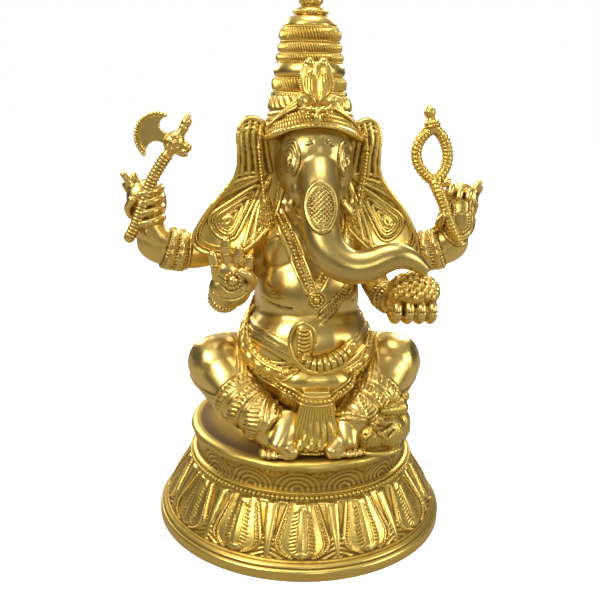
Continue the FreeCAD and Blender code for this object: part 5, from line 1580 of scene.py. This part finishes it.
def makeSweets():
    pile = Pile()
    ball(pile, 52, -56, 93.5, (12, 9, 8.0))
    golden = math.pi * (3 - math.sqrt(5))
    count = sweetsLook["count"]
    for i in range(count):
        high = 1 - 1.25 * (i + 0.5) / count
        wide = math.sqrt(1 - high ** 2)
        x, y = wide * math.cos(golden * i), wide * math.sin(golden * i)
        ball(pile, 52 + 12.2 * x, -56 + 9.2 * y, 93.5 + 8.4 * high, 2.1 + 0.45 * math.sin(i * 2.4), fine=10)
    clay = remeshed(pile, sweetsLook["voxel"], 1)
    speck = clay.spots * 2.6
    clay.relief = sweetsLook["grain"] * np.sin(speck[:, 0] * 1.3) * np.sin(speck[:,
            1] * 1.7) * np.sin(speck[:, 2] * 1.5)
    clay.press()
    settlePiece("sweets", clay, None, ["sweets"], brass["cast"])


mouseLook = {"voxel": 0.5, "fur": 0.13}


def makeMouse():
    pile = Pile()
    ball(pile, 41, -50, 11.5, (13.0, 11.0, 11.5))
    ball(pile, 34, -54, 9.0, (9.5, 7.0, 8.6))
    ball(pile, 49, -44, 13, (9, 9, 11))
    ball(pile, 49.5, -45, 23.0, (6.6, 6.4, 5.8))
    tube(pile, [(48, -48, 23, 4.6), (43.6, -52, 24.2, 3.2), (40.4, -54.4, 24.6, 2.2)], sides=16)
    ball(pile, 39.4, -55, 24.8, 1.6)
    for shift in (-3.6, 4.2):
        ball(pile, 52 + shift * 0.7, -43.4 + shift * 0.4, 27.6, (3.0, 1.4, 3.2), (0, 0, 30))
    for x, z in ((33, 12), (37, 15)):
        finger(pile, [(x + 6, -56, z + 4), (x + 2, -60, z + 5), (x, -61, z + 8)], 2.1)
    tube(pile, [(54, -40, 4, 2.2), (50, -54, 2.6, 2.0), (42, -61, 2.4, 1.8), (32, -62, 2.6, 1.5),
                (27, -58, 3.0, 1.1)], sides=12)
    clay = remeshed(pile, mouseLook["voxel"], 4)
    for lift in (0, 5.4):  # curved lines of the haunch
        draw(clay, [(29 + lift * 0.3, 13 + lift), (35, 10.2 + lift * 0.8), (41, 11.6 + lift),
                    (45, 15.5 + lift * 0.7)], 1.0, -0.9, step=0.5)
    draw(clay, arc(35, 8.5, 6.2, 5.6, 20, 200), 0.8, 0.6, step=0.5)
    for side in (-1, 1):
        draw(clay, arc(46.2 + side * 2.4, 25.0, 1.2, 1.0, 0, 350), 0.5, 0.5, step=0.3)
    x, y, z = clay.spots.T
    fur = np.sin(x * 3.1 + np.sin(z * 1.1) * 1.6) * np.sin(z * 1.5 + y * 0.6)
    clay.relief = clay.relief + mouseLook["fur"] * fur
    clay.press()
    settlePiece("mouse", clay, None, ["mouse"], brass["olive"])


# everything together
makeCamera()
makeLights()
makeSky()
makeFloor()
brass = {name: makeBrass(name + "Brass", tones) for name, tones in brassTones.items()}
steel = makeSteel()
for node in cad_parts.values():
    node.data.materials.clear()
    node.data.materials.append(brass["smooth"])
for name in ("tie_stud", "clamp_bar", "tie_washer", "tie_nut", "neck_dowel", "crown_dowel", "arm_dowels"):
    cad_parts[name].data.materials[0] = steel
print("stage ready")
makePedestal()
makeSeat()
print("pedestal ready")
makeFace()
makeTusks()
makeEar("rightEar", "right_ear", -1)
makeEar("leftEar", "left_ear", 1)
makeCrownBand()
makeCrownTiers()
makeFinial()
makeCrest()
print("head ready")
torsoSkin = makeTorso()
legSkins = [makeLeg("rightLeg", "right_leg", -1), makeLeg("leftLeg", "left_leg", 1)]
pleatSkin = makePleats()
makeGirdle(Skin(torsoSkin, *legSkins, pleatSkin))
makeSerpent()
makeNecklace(Skin(torsoSkin))
print("body ready")
makeBackArm("rightBackArm", "right_back_arm", -1)
makeBackArm("leftBackArm", "left_back_arm", 1)
makeRightFrontArm()
makeLeftFrontArm()
print("arms ready")
makeAxe()
makeNoose()
makeSweets()
makeMouse()
print("emblems ready")

print("all pieces ready")
